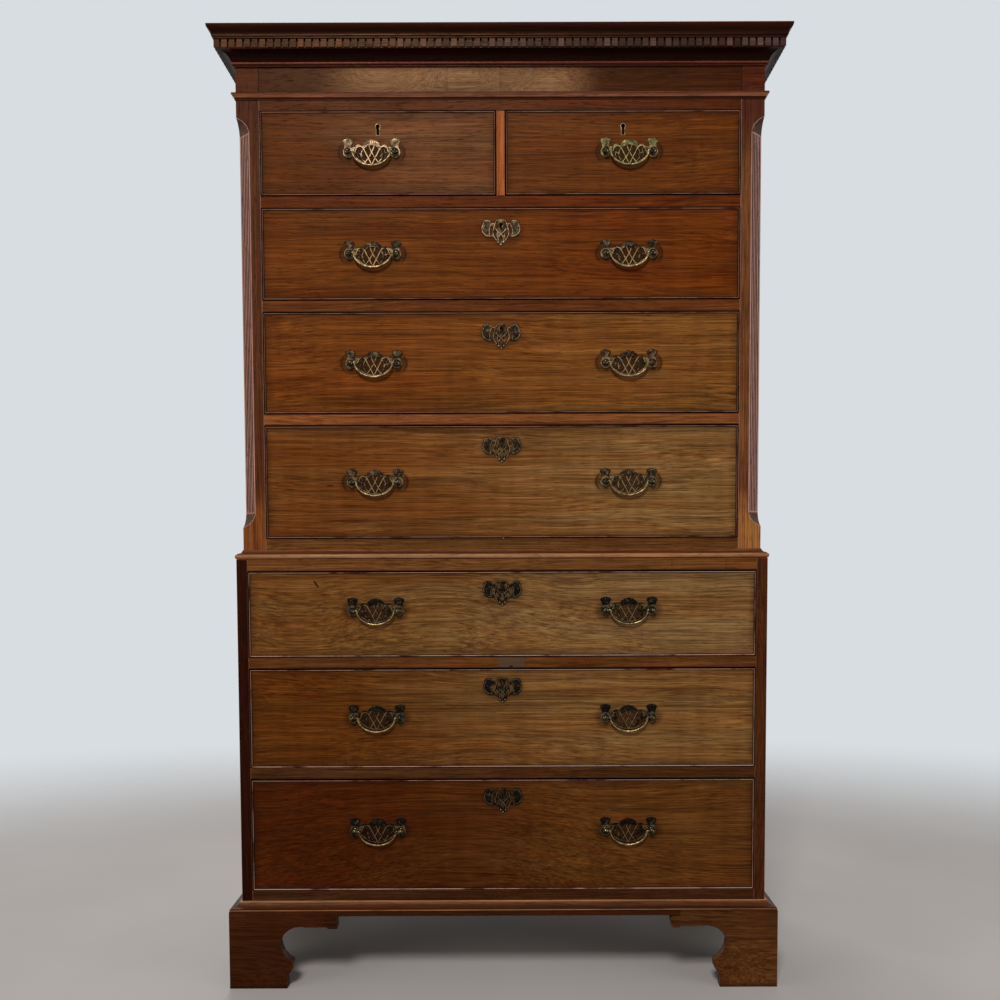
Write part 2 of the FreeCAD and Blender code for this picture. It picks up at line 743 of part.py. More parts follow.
def bail(x, z, face):
    """Hanging grip: a half-elliptical bow, thicker in the middle, with a pin turned out at each end."""
    axis = face - bail_standoff
    outward = V(0, 1, 0)
    half = [ring(V(half_span + bore_end - pin_end_gap, axis, 0), outward, V(0, 0, 1), pin_radius),
            ring(V(bail_half_width, axis, 0), outward, V(-0.7, 0, 0.7), pin_radius * 1.2)]
    for number in range(1, bail_steps):
        angle = math.pi / 2 * number / bail_steps
        centre = V(bail_half_width * math.cos(angle), axis, -bail_drop * math.sin(angle))
        up = V(-bail_drop * math.cos(angle), 0, bail_half_width * math.sin(angle)).normalize()
        swell = (bail_grip_radius - bail_end_radius) * math.sin(angle)
        half.append(ring(centre, outward, up, bail_end_radius + swell))
    bottom = ring(V(0, axis, -bail_drop), outward, V(0, 0, 1), bail_grip_radius)
    other = [[V(-point.x, point.y, point.z) for point in section] for section in half]
    return skin(other + [bottom] + half[::-1]).translated(V(x, 0, z))


# ---- drawers ------------------------------------------------------------------------------------
def drawer(name, centre, half_opening, face, floor, height, keyhole_below, handle_rise, long_front):
    """One drawer: front with cockbeads, dovetailed lining, brass and hanging bails."""
    half = half_opening - side_gap
    bottom, top = floor + bottom_gap, floor + height - top_gap
    inside = face + front_thickness
    back = inner_back - back_clearance
    x = (centre - half, centre + half)

    side_top = floor + height - lining_drop
    left = drawer_side(x[0], (inside, back), (floor, side_top))
    right = drawer_side(x[1] - lining, (inside, back), (floor, side_top))
    panel_z = (floor + bottom_rise, floor + bottom_rise + bottom_thickness)
    let_in = (x[0] + lining - bottom_groove, x[1] - lining + bottom_groove)
    panel = box(let_in, (inside - bottom_groove, back), panel_z)
    board = box(let_in, (back - lining_back, back), (panel_z[1], side_top - back_drop))
    sides = [left.cut([panel, board]), right.cut([panel, board])]
    save(name + "_lining", sides + [board, panel])

    key_z = top - keyhole_below
    handles = [-handle_offset, handle_offset] if long_front else [math.copysign(handle_offset, centre)]
    handle_z = (bottom + top) / 2 + handle_rise
    posts = []
    for handle_x in handles:
        for inner in (1, -1):
            post_x = handle_x - inner * half_span
            posts.append(handle_post(post_x, handle_z, face, inner))
            posts.append(nut(post_x, handle_z, inside))
    case = box((centre - lock_width / 2, centre + lock_width / 2),
               (inside - lock_thickness, inside), (top - lock_height, top))
    hole = plate_keyhole if long_front else thread_keyhole
    key_room = prism(on_y(face - bead_proud), V(0, inside - lock_thickness + 6.0 - face, 0),
                     *keyhole(hole, centre, key_z, 0))
    plates = [fretwork(handle_x, handle_z, face, plate_thickness, plate_border, plate_windows,
                       plate_half_windows) for handle_x in handles]
    threads = []
    if long_front:
        plates.append(fretwork(centre, key_z, face, escutcheon_thickness, escutcheon_border,
                               escutcheon_windows + [keyhole(hole, 0, 0, 0)], escutcheon_half_windows))
    else:
        thread = prism(on_y(face), V(0, thread_depth, 0), *keyhole(hole, centre, key_z, thread_width))
        threads.append(thread)
        plates.append(thread.cut(key_room))
    save(name + "_brass", plates + posts + [case.cut(key_room)])

    front = box(x, (face, inside), (bottom, top))
    beads = cockbeads(centre, half, face, bottom, top)
    edge = box((x[0] - 1, x[1] + 1), (face - 1, face + bead_depth), (bottom - 1, top + 1))
    edge = edge.cut(box((x[0] + bead, x[1] - bead), (face - 2, inside), (bottom + bead, top - bead)))
    front = front.cut([edge, case, key_room, panel] + sides + threads)
    save(name + "_front", [front] + beads)

    if long_front:
        save(name + "_bail_left", [bail(handles[0], handle_z, face)])
        save(name + "_bail_right", [bail(handles[1], handle_z, face)])
    else:
        save(name + "_bail", [bail(handles[0], handle_z, face)])


# ---- build --------------------------------------------------------------------------------------
save("backboards", lower_case() + upper_case())
save("cornice_moulding", cornice())
save("dentil_course", dentils())
save("waist_moulding", waist())
save("base_moulding", base_moulding())
save("bracket_foot_front_left", front_foot(False))
save("bracket_foot_front_right", [mirrored(piece) for piece in front_foot(True)])
save("bracket_foot_rear_left", rear_foot())
save("bracket_foot_rear_right", [mirrored(piece) for piece in rear_foot()])

for number, rise in enumerate((8.0, 1.0, 7.0)):
    drawer("lower_drawer_" + str(3 - number), 0, lower_opening_half, lower_face, lower_floors[number],
           lower_openings[number], lower_keyhole, rise, True)
for number, rise in enumerate((0.0, -1.0, 0.0)):
    drawer("upper_drawer_" + str(3 - number), 0, upper_opening_half, upper_face, upper_floors[number],
           upper_openings[number], upper_keyhole, rise, True)
short_half = (upper_opening_half - partition_width / 2) / 2
for side, sign in (("left", -1), ("right", 1)):
    drawer("short_drawer_" + side, sign * (upper_opening_half + partition_width / 2) / 2, short_half,
           upper_face, upper_floors[-1], short_opening, short_keyhole, 1.5, False)
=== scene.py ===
import json
from math import atan2, ceil, copysign, cos, hypot, radians, sin, sqrt, tau

import bmesh
import bpy
from mathutils import Matrix, Vector

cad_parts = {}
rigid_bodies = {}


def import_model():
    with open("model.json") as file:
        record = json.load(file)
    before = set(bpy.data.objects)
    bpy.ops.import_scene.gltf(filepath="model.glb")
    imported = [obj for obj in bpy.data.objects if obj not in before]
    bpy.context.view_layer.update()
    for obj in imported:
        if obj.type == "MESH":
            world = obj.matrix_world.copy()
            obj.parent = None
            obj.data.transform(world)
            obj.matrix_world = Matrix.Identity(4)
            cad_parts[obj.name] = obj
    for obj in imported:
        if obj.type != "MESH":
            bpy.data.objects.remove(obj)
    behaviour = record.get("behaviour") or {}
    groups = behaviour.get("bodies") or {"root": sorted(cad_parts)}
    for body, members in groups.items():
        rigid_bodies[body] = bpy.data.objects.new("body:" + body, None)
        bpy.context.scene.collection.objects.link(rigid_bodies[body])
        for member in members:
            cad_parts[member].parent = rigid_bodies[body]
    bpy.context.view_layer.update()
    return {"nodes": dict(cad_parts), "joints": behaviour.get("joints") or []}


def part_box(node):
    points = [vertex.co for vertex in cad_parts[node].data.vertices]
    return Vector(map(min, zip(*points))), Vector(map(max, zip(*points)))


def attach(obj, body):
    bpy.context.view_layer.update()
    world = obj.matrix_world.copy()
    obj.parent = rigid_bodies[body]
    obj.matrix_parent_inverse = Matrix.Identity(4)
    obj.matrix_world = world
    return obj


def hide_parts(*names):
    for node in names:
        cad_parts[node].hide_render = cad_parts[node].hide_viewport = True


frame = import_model()
NODES = frame["nodes"]
MM = 0.001


def add_object(name, data):
    made = bpy.data.objects.new(name, data)
    bpy.context.scene.collection.objects.link(made)
    return made


# ---- the photograph's view ----
CAMERA_PLACE = (0.0143, -2.1819, 0.8651)
PITCH, YAW, ROLL = -3.011, -0.051, -0.201  # degrees; negative pitch looks down
SHIFT = (-0.0105, 0.0971)
FOCAL_LENGTH = SENSOR_WIDTH = 36  # millimetres


def make_camera():
    data = bpy.data.cameras.new("camera")
    data.lens, data.sensor_width = FOCAL_LENGTH, SENSOR_WIDTH
    data.shift_x, data.shift_y = SHIFT
    camera = add_object("camera", data)
    turn = (Matrix.Rotation(radians(YAW), 4, "Z") @ Matrix.Rotation(radians(90 + PITCH), 4, "X")
            @ Matrix.Rotation(radians(ROLL), 4, "Z"))
    camera.matrix_world = Matrix.Translation(CAMERA_PLACE) @ turn
    bpy.context.scene.camera = camera


# ---- colours ----
def linear(colour):
    """Linear colour for a screen one of 0 to 255. A colour of four parts is linear already."""
    if len(colour) == 4:
        return colour
    parts = [part / 255 for part in colour]
    return (*(part / 12.92 if part <= 0.04045 else ((part + 0.055) / 1.055) ** 2.4 for part in parts), 1)


def shade(colour, factor):
    """Lighter or darker wood: the dark parts are redder, the light ones yellower."""
    return (*(min(1, part * factor ** power) for part, power in zip(colour, (1, 1.15, 1.25))), 1)


# ---- material graphs ----
class Graph:
    """Node tree of a new material or world. Its methods add nodes and give their outputs."""

    def __init__(self, name, kind=bpy.data.materials):
        self.data = kind.new(name)
        self.data.use_nodes = True
        self.tree = self.data.node_tree
        self.shader = self.tree.nodes.get("Principled BSDF")

    def node(self, kind, inputs=(), **settings):
        made = self.tree.nodes.new("ShaderNode" + kind)
        for key, value in settings.items():
            setattr(made, key, value)
        for key, value in dict(inputs).items():
            self.feed(made.inputs[key], value)
        return made

    def feed(self, socket, value):
        """Links an output to a socket, or sets the socket's own value."""
        if isinstance(value, bpy.types.NodeSocket):
            self.tree.links.new(value, socket)
        elif socket.type == "RGBA":
            socket.default_value = linear(value)
        else:
            socket.default_value = value[:3] if socket.type == "VECTOR" else value

    def set(self, **values):
        """Inputs of the surface shader, with _ for a space."""
        for key, value in values.items():
            self.feed(self.shader.inputs[key.replace("_", " ")], value)

    def math(self, operation, *values, clamp=False):
        return self.node("Math", dict(enumerate(values)), operation=operation, use_clamp=clamp).outputs[0]

    def fold(self, operation, *values):
        """The operation over any number of values."""
        total = values[0]
        for value in values[1:]:
            total = self.math(operation, total, value)
        return total

    def times(self, *values):
        return self.fold("MULTIPLY", *values)

    def minus(self, first, second):
        return self.math("SUBTRACT", first, second)

    def size(self, value):
        return self.math("ABSOLUTE", value)

    def line(self, value, slope, start):
        """value * slope + start."""
        return self.math("MULTIPLY_ADD", value, slope, start)

    def span(self, value, low, high, to_low=0, to_high=1):
        """Smooth step from low to high."""
        return self.node("MapRange", {0: value, 1: low, 2: high, 3: to_low, 4: to_high},
                         interpolation_type="SMOOTHSTEP").outputs[0]

    def within(self, value, low, high, soft=0.0005):
        """1 from low to high and 0 outside, in metres."""
        return self.times(self.span(value, low - soft, low + soft),
                          self.span(value, high - soft, high + soft, 1, 0))

    def area(self, x, z, across, up):
        """1 in a rectangle, given by its ends across and up."""
        return self.times(self.within(x, *across), self.within(z, *up))

    def mix(self, factor, first, second):
        return self.node("Mix", {0: factor, 6: first, 7: second}, data_type="RGBA").outputs[2]

    def stain(self, colour, mask, strength, over):
        """A colour with another laid over it."""
        return self.mix(self.times(mask, strength), colour, over)

    def vector(self, operation, first, second=(0, 0, 0)):
        made = self.node("VectorMath", {0: first, 1: second}, operation=operation)
        return made.outputs["Value" if operation == "LENGTH" else "Vector"]

    def parts(self, vector):
        return self.node("SeparateXYZ", {0: vector}).outputs

    def join(self, x, y, z):
        return self.node("CombineXYZ", {0: x, 1: y, 2: z}).outputs[0]

    def place(self):
        """Place in the shared frame at rest, since a CAD node's object sits at its origin."""
        return self.node("TexCoord").outputs["Object"]

    def here(self):
        return self.parts(self.place())

    def facing(self):
        """Sizes of the x, y and z of the surface's normal."""
        return self.parts(self.vector("ABSOLUTE", self.node("NewGeometry").outputs["Normal"]))

    def island(self):
        """A number from 0 to 1 for each loose part of the mesh."""
        return self.node("NewGeometry").outputs["Random Per Island"]

    def noise(self, vector, scale, detail=3, roughness=0.55, distortion=0):
        """Noise of scale cells per metre. The last number of a tuple is repeated."""
        scale = (*scale, scale[-1])[:3] if isinstance(scale, tuple) else (scale,) * 3
        return self.node("TexNoise", {
            "Vector": self.vector("MULTIPLY", vector, scale), "Scale": 1, "Detail": detail,
            "Roughness": roughness, "Distortion": distortion}).outputs[0]

    def ramp(self, value, *stops):
        made = self.node("ValToRGB", {0: value})
        ramp = made.color_ramp
        while len(ramp.elements) < len(stops):
            ramp.elements.new(0.5)
        for element, (place, colour) in zip(ramp.elements, stops):
            element.position, element.color = place, linear(colour)
        return made.outputs[0]

    def bump(self, height, distance):
        """Surface normal for a height of 0 to 1 that stands for that distance in metres."""
        return self.node("Bump", {"Height": height, "Distance": distance, "Strength": 1}).outputs[0]


def fade(g, value, *stops):
    """Colour that changes along a value: (place, colour) stops."""
    colour = stops[0][1]
    for (low, _), (high, following) in zip(stops, stops[1:]):
        colour = g.mix(g.span(value, low, high), colour, following)
    return colour


# ---- wood ----
CASE_SPLIT = 0.838  # height of the joint between the two cases, in metres
# layers of the grain: cells per metre along and across it, detail, roughness, distortion and share
GRAIN = {
    "streak": ((0.9, 80), 4, 0.68, 0.2, 0.2),
    "band": ((2.6, 270), 3, 0.65, 0, 0.31),
    "fibre": ((9, 540), 2, 0.6, 0, 0.35),
    "ribbon": ((46, 7), 2, 0.5, 0, 0.06),
    "broad": ((0.8, 16), 2, 0.5, 0, 0.08)}
GRAIN_CONTRAST = 3.7
GRAIN_SHADES = ((0.06, 0.36), (0.36, 0.74), (0.6, 1.14), (0.98, 1.85))  # value of the grain, lightness
GREY = (0.5, 0.5, 0.5, 1)  # linear colours of the grain
PORE = (0.13, 0.07, 0.045, 1)
WARM_TINT, COOL_TINT = (2.1, 1.9, 1.72, 1), (1.96, 2.08, 2.16, 1)


def grain_frame(g, along):
    """Position with its first axis along the grain. turning follows the front and its returns, and
    backs is X in the lower case and Z in the upper one."""
    x, y, z = g.here()
    orders = {"X": (x, y, z), "Y": (y, x, z), "Z": (z, x, y)}
    if along in orders:
        return g.join(*orders[along])
    if along == "backs":
        mask, other = g.math("GREATER_THAN", z, CASE_SPLIT), orders["Z"]
    else:
        normal = g.facing()
        mask, other = g.math("GREATER_THAN", normal[0], normal[1]), orders["Y"]
    return g.join(*(g.node("Mix", {0: mask, 2: first, 3: second}).outputs[0]
                    for first, second in zip((x, y, z), other)))


def wood(g, along, tone, seed, contrast=1, figure=1, swirls=(), other=None, pores=1):
    """Colour, and (roughness, height). tone is the middle colour, other one that it drifts to in clouds,
    and swirls are (x, z, radius, lift) where the grain bends."""
    shift = g.line(g.island(), 7.3, seed)
    place = g.vector("ADD", grain_frame(g, along), g.join(shift, g.times(shift, 0.7), g.times(shift, 1.3)))

    bend = g.times(g.minus(g.noise(place, (1.6, 5), 2), 0.5), 0.05 * figure)
    here = g.here()
    for x, z, radius, lift in swirls:
        flat = g.join(g.minus(here[0], x), 0, g.times(g.minus(here[2], z), 1.8))
        bend = g.line(g.span(g.vector("LENGTH", flat), 0, radius, 1, 0), lift, bend)
    bent = g.vector("ADD", place, g.join(0, bend, bend))

    value, layers = 0, {}
    for layer, (scale, detail, roughness, distortion, share) in GRAIN.items():
        layers[layer] = g.noise(bent, scale, detail, roughness, distortion)
        value = g.line(layers[layer], share, value)
    value = g.line(g.minus(value, 0.5), GRAIN_CONTRAST * contrast, 0.5)

    if other:
        tone = g.mix(g.span(g.noise(place, (2.2, 4.5), 2, 0.5), 0.36, 0.64), tone, other)
    if isinstance(tone, tuple):
        tone = linear(tone)
    grain = g.ramp(value, *((stop, shade(GREY, lightness)) for stop, lightness in GRAIN_SHADES))
    pore = g.span(g.noise(bent, (42, 560), 1, 0.5), 0.58, 0.7)
    grain = g.stain(grain, pore, 0.5 * pores, PORE)
    warmth = g.mix(g.span(g.noise(bent, (1.7, 30), 3, 0.6), 0.38, 0.62), WARM_TINT, COOL_TINT)
    colour = g.vector("MULTIPLY", g.vector("MULTIPLY", grain, warmth), tone)
    rough = g.line(pore, 0.25, g.span(g.noise(place, (9, 16)), 0.3, 0.7, 0.3, 0.42))
    return colour, (rough, g.line(pore, -0.7, g.times(layers["fibre"], 0.3)))


def worn(g, colour, strength):
    """Dirt and rubbed patches over a finish."""
    place = g.place()
    darkening = g.span(g.noise(place, 11, 5, 0.65), 0.5, 0.78)
    scuff = g.span(g.noise(place, (60, 90), 4, 0.7), 0.66, 0.8)
    colour = g.stain(colour, darkening, 0.4 * strength, (28, 13, 7))
    return g.stain(colour, scuff, 0.22 * strength, (150, 105, 66))


def polished(g, colour, feel, wear=0.5):
    """Thin old polish: a weak, warm sheen, and wear over it."""
    rough, height = feel
    g.set(Base_Color=worn(g, colour, wear) if wear else colour, Roughness=rough, Specular_IOR_Level=0.08,
          Specular_Tint=(1, 0.55, 0.3, 1), Normal=g.bump(height, 0.00012))
    return g.data


# ---- woods of the case, with places in metres ----
FRIEZE_FOOT, FRIEZE_TOP = 1.7208, 1.77  # heights of the astragal's top and the cornice's foot
RAIL_TONES = (
    (0.178, (56, 30, 15)), (0.419, (63, 36, 16)), (0.636, (82, 46, 20)), (0.826, (96, 58, 27)),
    (0.867, (84, 51, 23)), (1.106, (108, 62, 31)), (1.322, (87, 46, 20)), (1.518, (77, 32, 8)),
    (1.698, (64, 27, 9)))
PARTITION = (-0.0085, 0.0085), (1.53, 1.688)  # between the short drawers: x and z
PATCH = (-0.008, 0.043), (0.626, 0.647)  # let in over the second lower drawer's keyhole
NOTCH = (0.013, 0.02), (0.626, 0.6305)  # the dark chip at the patch's foot
TOP_RAIL, TOP_JOINTS = (0.815, 0.838), (0.328, 0.432)  # of the lower case: z, and x of two joints
STILE = -0.248  # y in front of which a side's edge shows
POST_FRONT, POST_SIDE = -0.2375, 0.502  # y of the corner posts' fronts, x of their outsides
FLUTES = (0.926, 1.649)  # z of the flutes
SCOOPS = (0.8985, 0.929), (1.646, 1.6745)  # z of the hollows that end the canted face
CANT = (0.4785, 0.5016)  # x of the canted face
# astragal: the light band on its nose is a painted highlight, the dark cove below it painted shade
ASTRAGAL_TONES = (
    (1.71, (36, 15, 10)), (1.7122, (40, 18, 12)), (1.7132, (132, 84, 62)), (1.7166, (132, 84, 62)),
    (1.7174, (60, 28, 18)), (1.7212, (54, 24, 15)))
FRIEZE_JOINTS = (-0.101, 0, 0.215)
FRIEZE_SWIRLS = ((-0.21, 1.78, 0.13, 0.07), (0.1, 1.7, 0.12, -0.05), (0.02, 1.77, 0.08, 0.04))
# cornice: the light bands at its foot and on its bead are painted highlights
CORNICE_TONES = (
    (1.7705, (70, 30, 20)), (1.7714, (30, 9, 5)), (1.7722, (92, 46, 34)), (1.776, (92, 46, 34)),
    (1.7768, (30, 8, 4)), (1.79, (22, 6, 3)), (1.7925, (16, 5, 3)), (1.806, (14, 5, 3)),
    (1.8075, (24, 7, 4)), (1.816, (28, 8, 4)), (1.818, (18, 5, 3)), (1.8205, (34, 9, 5)),
    (1.83, (40, 12, 6)))
HOLLOW_SHADE, BASE_NOSE_HIGHLIGHT, BASE_TOP_HIGHLIGHT = (26, 10, 6), (138, 96, 66), (152, 108, 76)  # painted shade in the hollows, and painted highlights on the noses and top
# waist: the light nose is a painted highlight, the dark bands above and below it painted shade
WAIST_TONES = (
    (0.8388, HOLLOW_SHADE), (0.8402, (128, 88, 58)), (0.8466, (140, 98, 66)), (0.8484, (70, 38, 21)),
    (0.856, (96, 56, 32)))
# base: the light nose and top are painted highlights, the dark bands painted shade
BASE_TONES = (
    (0.15, (48, 22, 9)), (0.1518, HOLLOW_SHADE), (0.1526, HOLLOW_SHADE), (0.1532, BASE_NOSE_HIGHLIGHT), (0.1552, BASE_NOSE_HIGHLIGHT),
    (0.1562, HOLLOW_SHADE), (0.1576, (66, 36, 20)), (0.1646, (78, 45, 26)), (0.166, BASE_TOP_HIGHLIGHT))


def rails_material(openings):
    """Drawer rails: soiling and painted shade along the openings and beside the partition, a let-in patch
    with a chip in it, and joints in the lower top rail."""
    g = Graph("mahogany_rails")
    x, _, z = g.here()
    colour, feel = wood(g, "X", fade(g, z, *RAIL_TONES), 3.1)
    upright, _ = wood(g, "Z", (140, 78, 38), 5.5, contrast=0.7)
    colour = g.mix(g.area(x, z, *PARTITION), colour, upright)
    colour = g.stain(colour, g.area(x, z, *PATCH), 0.75, (70, 58, 46))
    colour = g.stain(colour, g.area(x, z, *NOTCH), 0.85, (14, 8, 6))
    for joint in TOP_JOINTS:
        colour = g.stain(colour, g.area(x, z, (joint, joint + 0.0008), TOP_RAIL), 0.7, (24, 11, 6))
    # soiling and painted shade at the gaps beside the partition
    dirt_and_shade = g.times(g.span(g.size(x), 0.0072, 0.008), g.area(x, z, (-0.009, 0.009), (1.529, 1.689)))
    # soiling and painted shade along each opening, wider on the rail above a drawer as the painted shadow in
    # its top gap
    for low, high in openings:
        for limit, way, wide in ((low, -1, 0), (high, 1, 0.0008)):
            away = g.times(g.minus(z, limit), way)
            along = g.times(g.span(away, 0.0017 + wide, 0.0027 + wide, 0.95, 0), g.span(away, -0.001, 0))
            dirt_and_shade = g.fold("MAXIMUM", dirt_and_shade, along)
    return polished(g, g.mix(dirt_and_shade, colour, (12, 6, 4)), feel)


def side_material(name, front, side, seed, figure=2, other=None):
    """A side of a case, and its front edge, which shows as a stile on the lower case."""
    g = Graph(name)
    edge = g.span(g.here()[1], STILE, STILE - 0.0004)
    return polished(g, *wood(g, "Z", g.mix(edge, side, front), seed, figure=figure, other=other))


def post_material(name, foot, front, head, cant, seed):
    """Corner post: narrow front, canted face with painted shade in its flutes, and the frieze's veneer on
    top.
    """
    g = Graph(name)
    x, y, z = g.here()
    across = g.size(x)
    depth = g.times(g.minus(g.math("ADD", y, POST_SIDE - POST_FRONT), across), sqrt(0.5))
    fluted = g.times(g.span(across, 0.4778, 0.4783), g.within(z, *FLUTES, 0.002))
    ends = g.fold("MAXIMUM", *(g.within(z, *scoop) for scoop in SCOOPS))
    scooped = g.times(g.within(across, *CANT), g.span(y, POST_FRONT + 0.0002, POST_FRONT + 0.0006), ends,
                      g.minus(1, fluted))
    front = fade(g, z, (0.915, foot), (0.99, front), (1.55, front), (1.7, head))
    tone = g.mix(scooped, g.mix(fluted, front, cant), (72, 50, 40))
    colour, feel = wood(g, "Z", tone, seed, figure=0.6)
    # painted shade in the hollows of the flutes
    colour = g.stain(colour, g.times(g.span(depth, 0.01705, 0.0174), fluted), 0.97, (16, 5, 4))
    veneer, _ = wood(g, "X", (64, 26, 13), seed + 2)
    above = g.span(z, FRIEZE_FOOT, FRIEZE_FOOT + 0.0006)
    colour = g.mix(above, colour, veneer)
    colour = g.stain(colour, g.times(g.within(across, 0.458, 0.4588), above), 0.7, (16, 6, 4))
    return polished(g, colour, feel, 0.4)


def edge_material(name, along, tone, seed):
    """Rubbed edges, whose light tones are also painted highlights; they stay dark between the astragal and
    the cornice.
    """
    g = Graph(name)
    z = g.here()[2]
    frieze = g.times(g.span(z, FRIEZE_FOOT, FRIEZE_FOOT + 0.0008), g.span(z, FRIEZE_TOP, FRIEZE_TOP - 0.001))
    return polished(g, *wood(g, along, g.mix(frieze, tone, (34, 14, 8)), seed, contrast=0.45), 0)


def frieze_material():
    """Figured veneer in four pieces, palest left of the middle, over the astragal's straight wood."""
    g = Graph("mahogany_frieze")
    x, _, z = g.here()
    plain, feel = wood(g, "turning", fade(g, z, *ASTRAGAL_TONES), 4.7, contrast=0.7)
    flame, _ = wood(g, "X", (98, 70, 46), 8.3, figure=4.5, other=(122, 90, 62), contrast=0.8,
                    swirls=FRIEZE_SWIRLS)
    dull, _ = wood(g, "X", (37, 12, 2), 6.1, figure=2, other=(50, 21, 6))
    for inner, outer in ((0.08, 0.2), (-0.26, -0.36)):
        flame = g.mix(g.span(x, inner, outer), flame, dull)
    for joint in FRIEZE_JOINTS:
        near = g.span(g.size(g.minus(x, joint)), 0.0004, 0.0011, 0.55, 0)
        flame = g.mix(near, flame, (34, 18, 10))
    # painted shade under the cornice, darker towards the top of the frieze
    flame = g.mix(g.span(z, 1.757, 1.769, 0, 0.5), flame, (34, 16, 9))
    return polished(g, g.mix(g.span(z, FRIEZE_FOOT, FRIEZE_FOOT + 0.0008), plain, flame), feel, 0.6)


def moulding_material(name, seed, tones):
    """Moulding coloured by height, with painted shade in its hollows and painted highlights on its noses:
    (height, colour) tones.
    """
    g = Graph(name)
    return polished(g, *wood(g, "turning", fade(g, g.here()[2], *tones), seed, contrast=0.7), 0.35)


def dentil_material():
    """Small blocks that each have their own tone, warmer on the left, with painted shade on their flanks."""
    g = Graph("mahogany_dentils")
    x, y, _ = g.here()
    island = g.island()
    warm = g.ramp(island, (0, (66, 34, 20)), (0.5, (40, 18, 11)), (1, (88, 54, 34)))
    grey = g.ramp(island, (0, (52, 36, 33)), (0.5, (38, 25, 23)), (1, (76, 57, 54)))
    tone = g.mix(g.span(x, -0.35, 0.1), warm, grey)
    colour, feel = wood(g, "turning", tone, 6.9, contrast=0.5)
    # painted shade on the blocks' flanks and in the gaps between them
    flank = g.times(g.span(y, -0.268, -0.2686), g.span(g.facing()[1], 0.9, 0.7))
    return polished(g, g.stain(colour, flank, 0.8, (20, 8, 5)), feel, 0)


def foot_material(name, tone, other, seed, hand):
    """Bracket foot: grain that bends at its corner, and darker towards the floor. hand is -1 for left."""
    g = Graph(name)
    corner = (copysign(0.53, hand), 0, 0.2, hand * 0.05)
    colour, feel = wood(g, "turning", tone, seed, other=other, swirls=(corner,))
    return polished(g, g.mix(g.span(g.here()[2], 0.012, 0, 0, 0.6), colour, (24, 11, 6)), feel, 0.8)


def oak_material(name, along, tone):
    """Bare secondary wood: open grain and dust, each board its own shade."""
    g = Graph(name)
    tone = g.mix(g.island(), shade(linear(tone), 0.8), shade(linear(tone), 1.14))
    colour, (_, height) = wood(g, along, tone, 2.3, contrast=0.9, figure=1.4, pores=1.6)
    dust = g.span(g.noise(g.place(), 6, 4), 0.42, 0.7)
    g.set(Base_Color=g.stain(colour, dust, 0.35, (96, 82, 62)), Roughness=0.78, Specular_IOR_Level=0.2,
          Normal=g.bump(height, 0.0003))
    return g.data


# ---- drawer fronts, in metres ----
BEAD = 0.0032  # width of a cockbead
GHOST = 0.019  # radius of the dark crescent outside a handle post
PLATE_DIRT_AND_SHADOW, KEY_DIRT = (0.037, 0.0245), (0.042, 0.026)  # half-axes of the soiling around the plates; the handle plate's reaches below its bail as painted shadow


def oval(g, x, z, centre, half_axes=(1, 1)):
    """Distance from a centre, with 1 on the oval that has these half-axes."""
    across, up = (g.math("DIVIDE", g.minus(value, middle), half)
                  for value, middle, half in zip((x, z), centre, half_axes))
    return g.math("SQRT", g.line(across, across, g.times(up, up)))


def brass_dirt_and_shade(g, x, z, cloud, handles, key, ghost):
    """Masks of the soiling around each plate and post, with painted shadow below each bail, and of a dark
    crescent outside each post.
    """
    masks = []
    for middle, height in handles:
        # soiling behind the plate, stretched down past the bail as its painted shadow
        masks.append(g.span(oval(g, x, z, (middle, height - 0.006), PLATE_DIRT_AND_SHADOW), 0.8, 1.15, 0.8, 0))
        for side in (-1, 1):
            post = middle + side * SPAN * MM
            away = oval(g, x, z, (post, height))
            masks.append(g.span(away, 0.012, 0.026, 0.5, 0))
            if ghost:
                ring = g.size(g.minus(g.line(cloud, 0.003, away), GHOST))
                outside = g.span(g.times(g.minus(x, post), side), 0.005, 0.014)
                masks.append(g.times(g.span(ring, 0.001, 0.0042, ghost, 0), outside))
    if key:
        masks.append(g.span(g.line(cloud, 0.5, oval(g, x, z, key, KEY_DIRT)), 1, 1.5, 0.4, 0))
    return masks


def scratch(g, x, z, middle_x, middle_z, length, width, slope):
    """Mask of a dark mark, with half its length and width, and its slope in degrees."""
    dx, dz = g.minus(x, middle_x), g.minus(z, middle_z)
    run, rise = cos(radians(slope)), sin(radians(slope))
    along = g.line(dx, run / length, g.times(dz, rise / length))
    across = g.line(dx, -rise / width, g.times(dz, run / width))
    return g.span(g.line(along, along, g.times(across, across)), 0.45, 1, 0.9, 0)


def beaded(g, colour, beside, edge, bead):
    """Colour with the cockbeads over it: their light colour is a painted highlight, darker on the upright
    beads at the ends, with painted shade at their outer edge by the gap and in the groove at their foot.
    beside is the distance from the front's nearer end, and edge from its nearest edge."""
    # painted highlight: the light colour of the cockbeads
    strip = g.mix(g.span(g.noise(g.place(), 22), 0.3, 0.56), (82, 45, 33), bead)
    strip = g.stain(strip, g.math("LESS_THAN", beside, BEAD), 0.5, (58, 29, 21))
    # painted shade at the beads' outer edge, by the gap
    strip = g.mix(g.span(edge, 0.0014, 0.002), (9, 4, 2), strip)
    # painted shade in the groove at the beads' foot
    groove = g.span(g.size(g.minus(edge, BEAD + 0.0003)), 0.0003, 0.0013, 0.8, 0)
    return g.mix(groove, g.mix(g.math("LESS_THAN", edge, BEAD), colour, strip), (14, 7, 4))


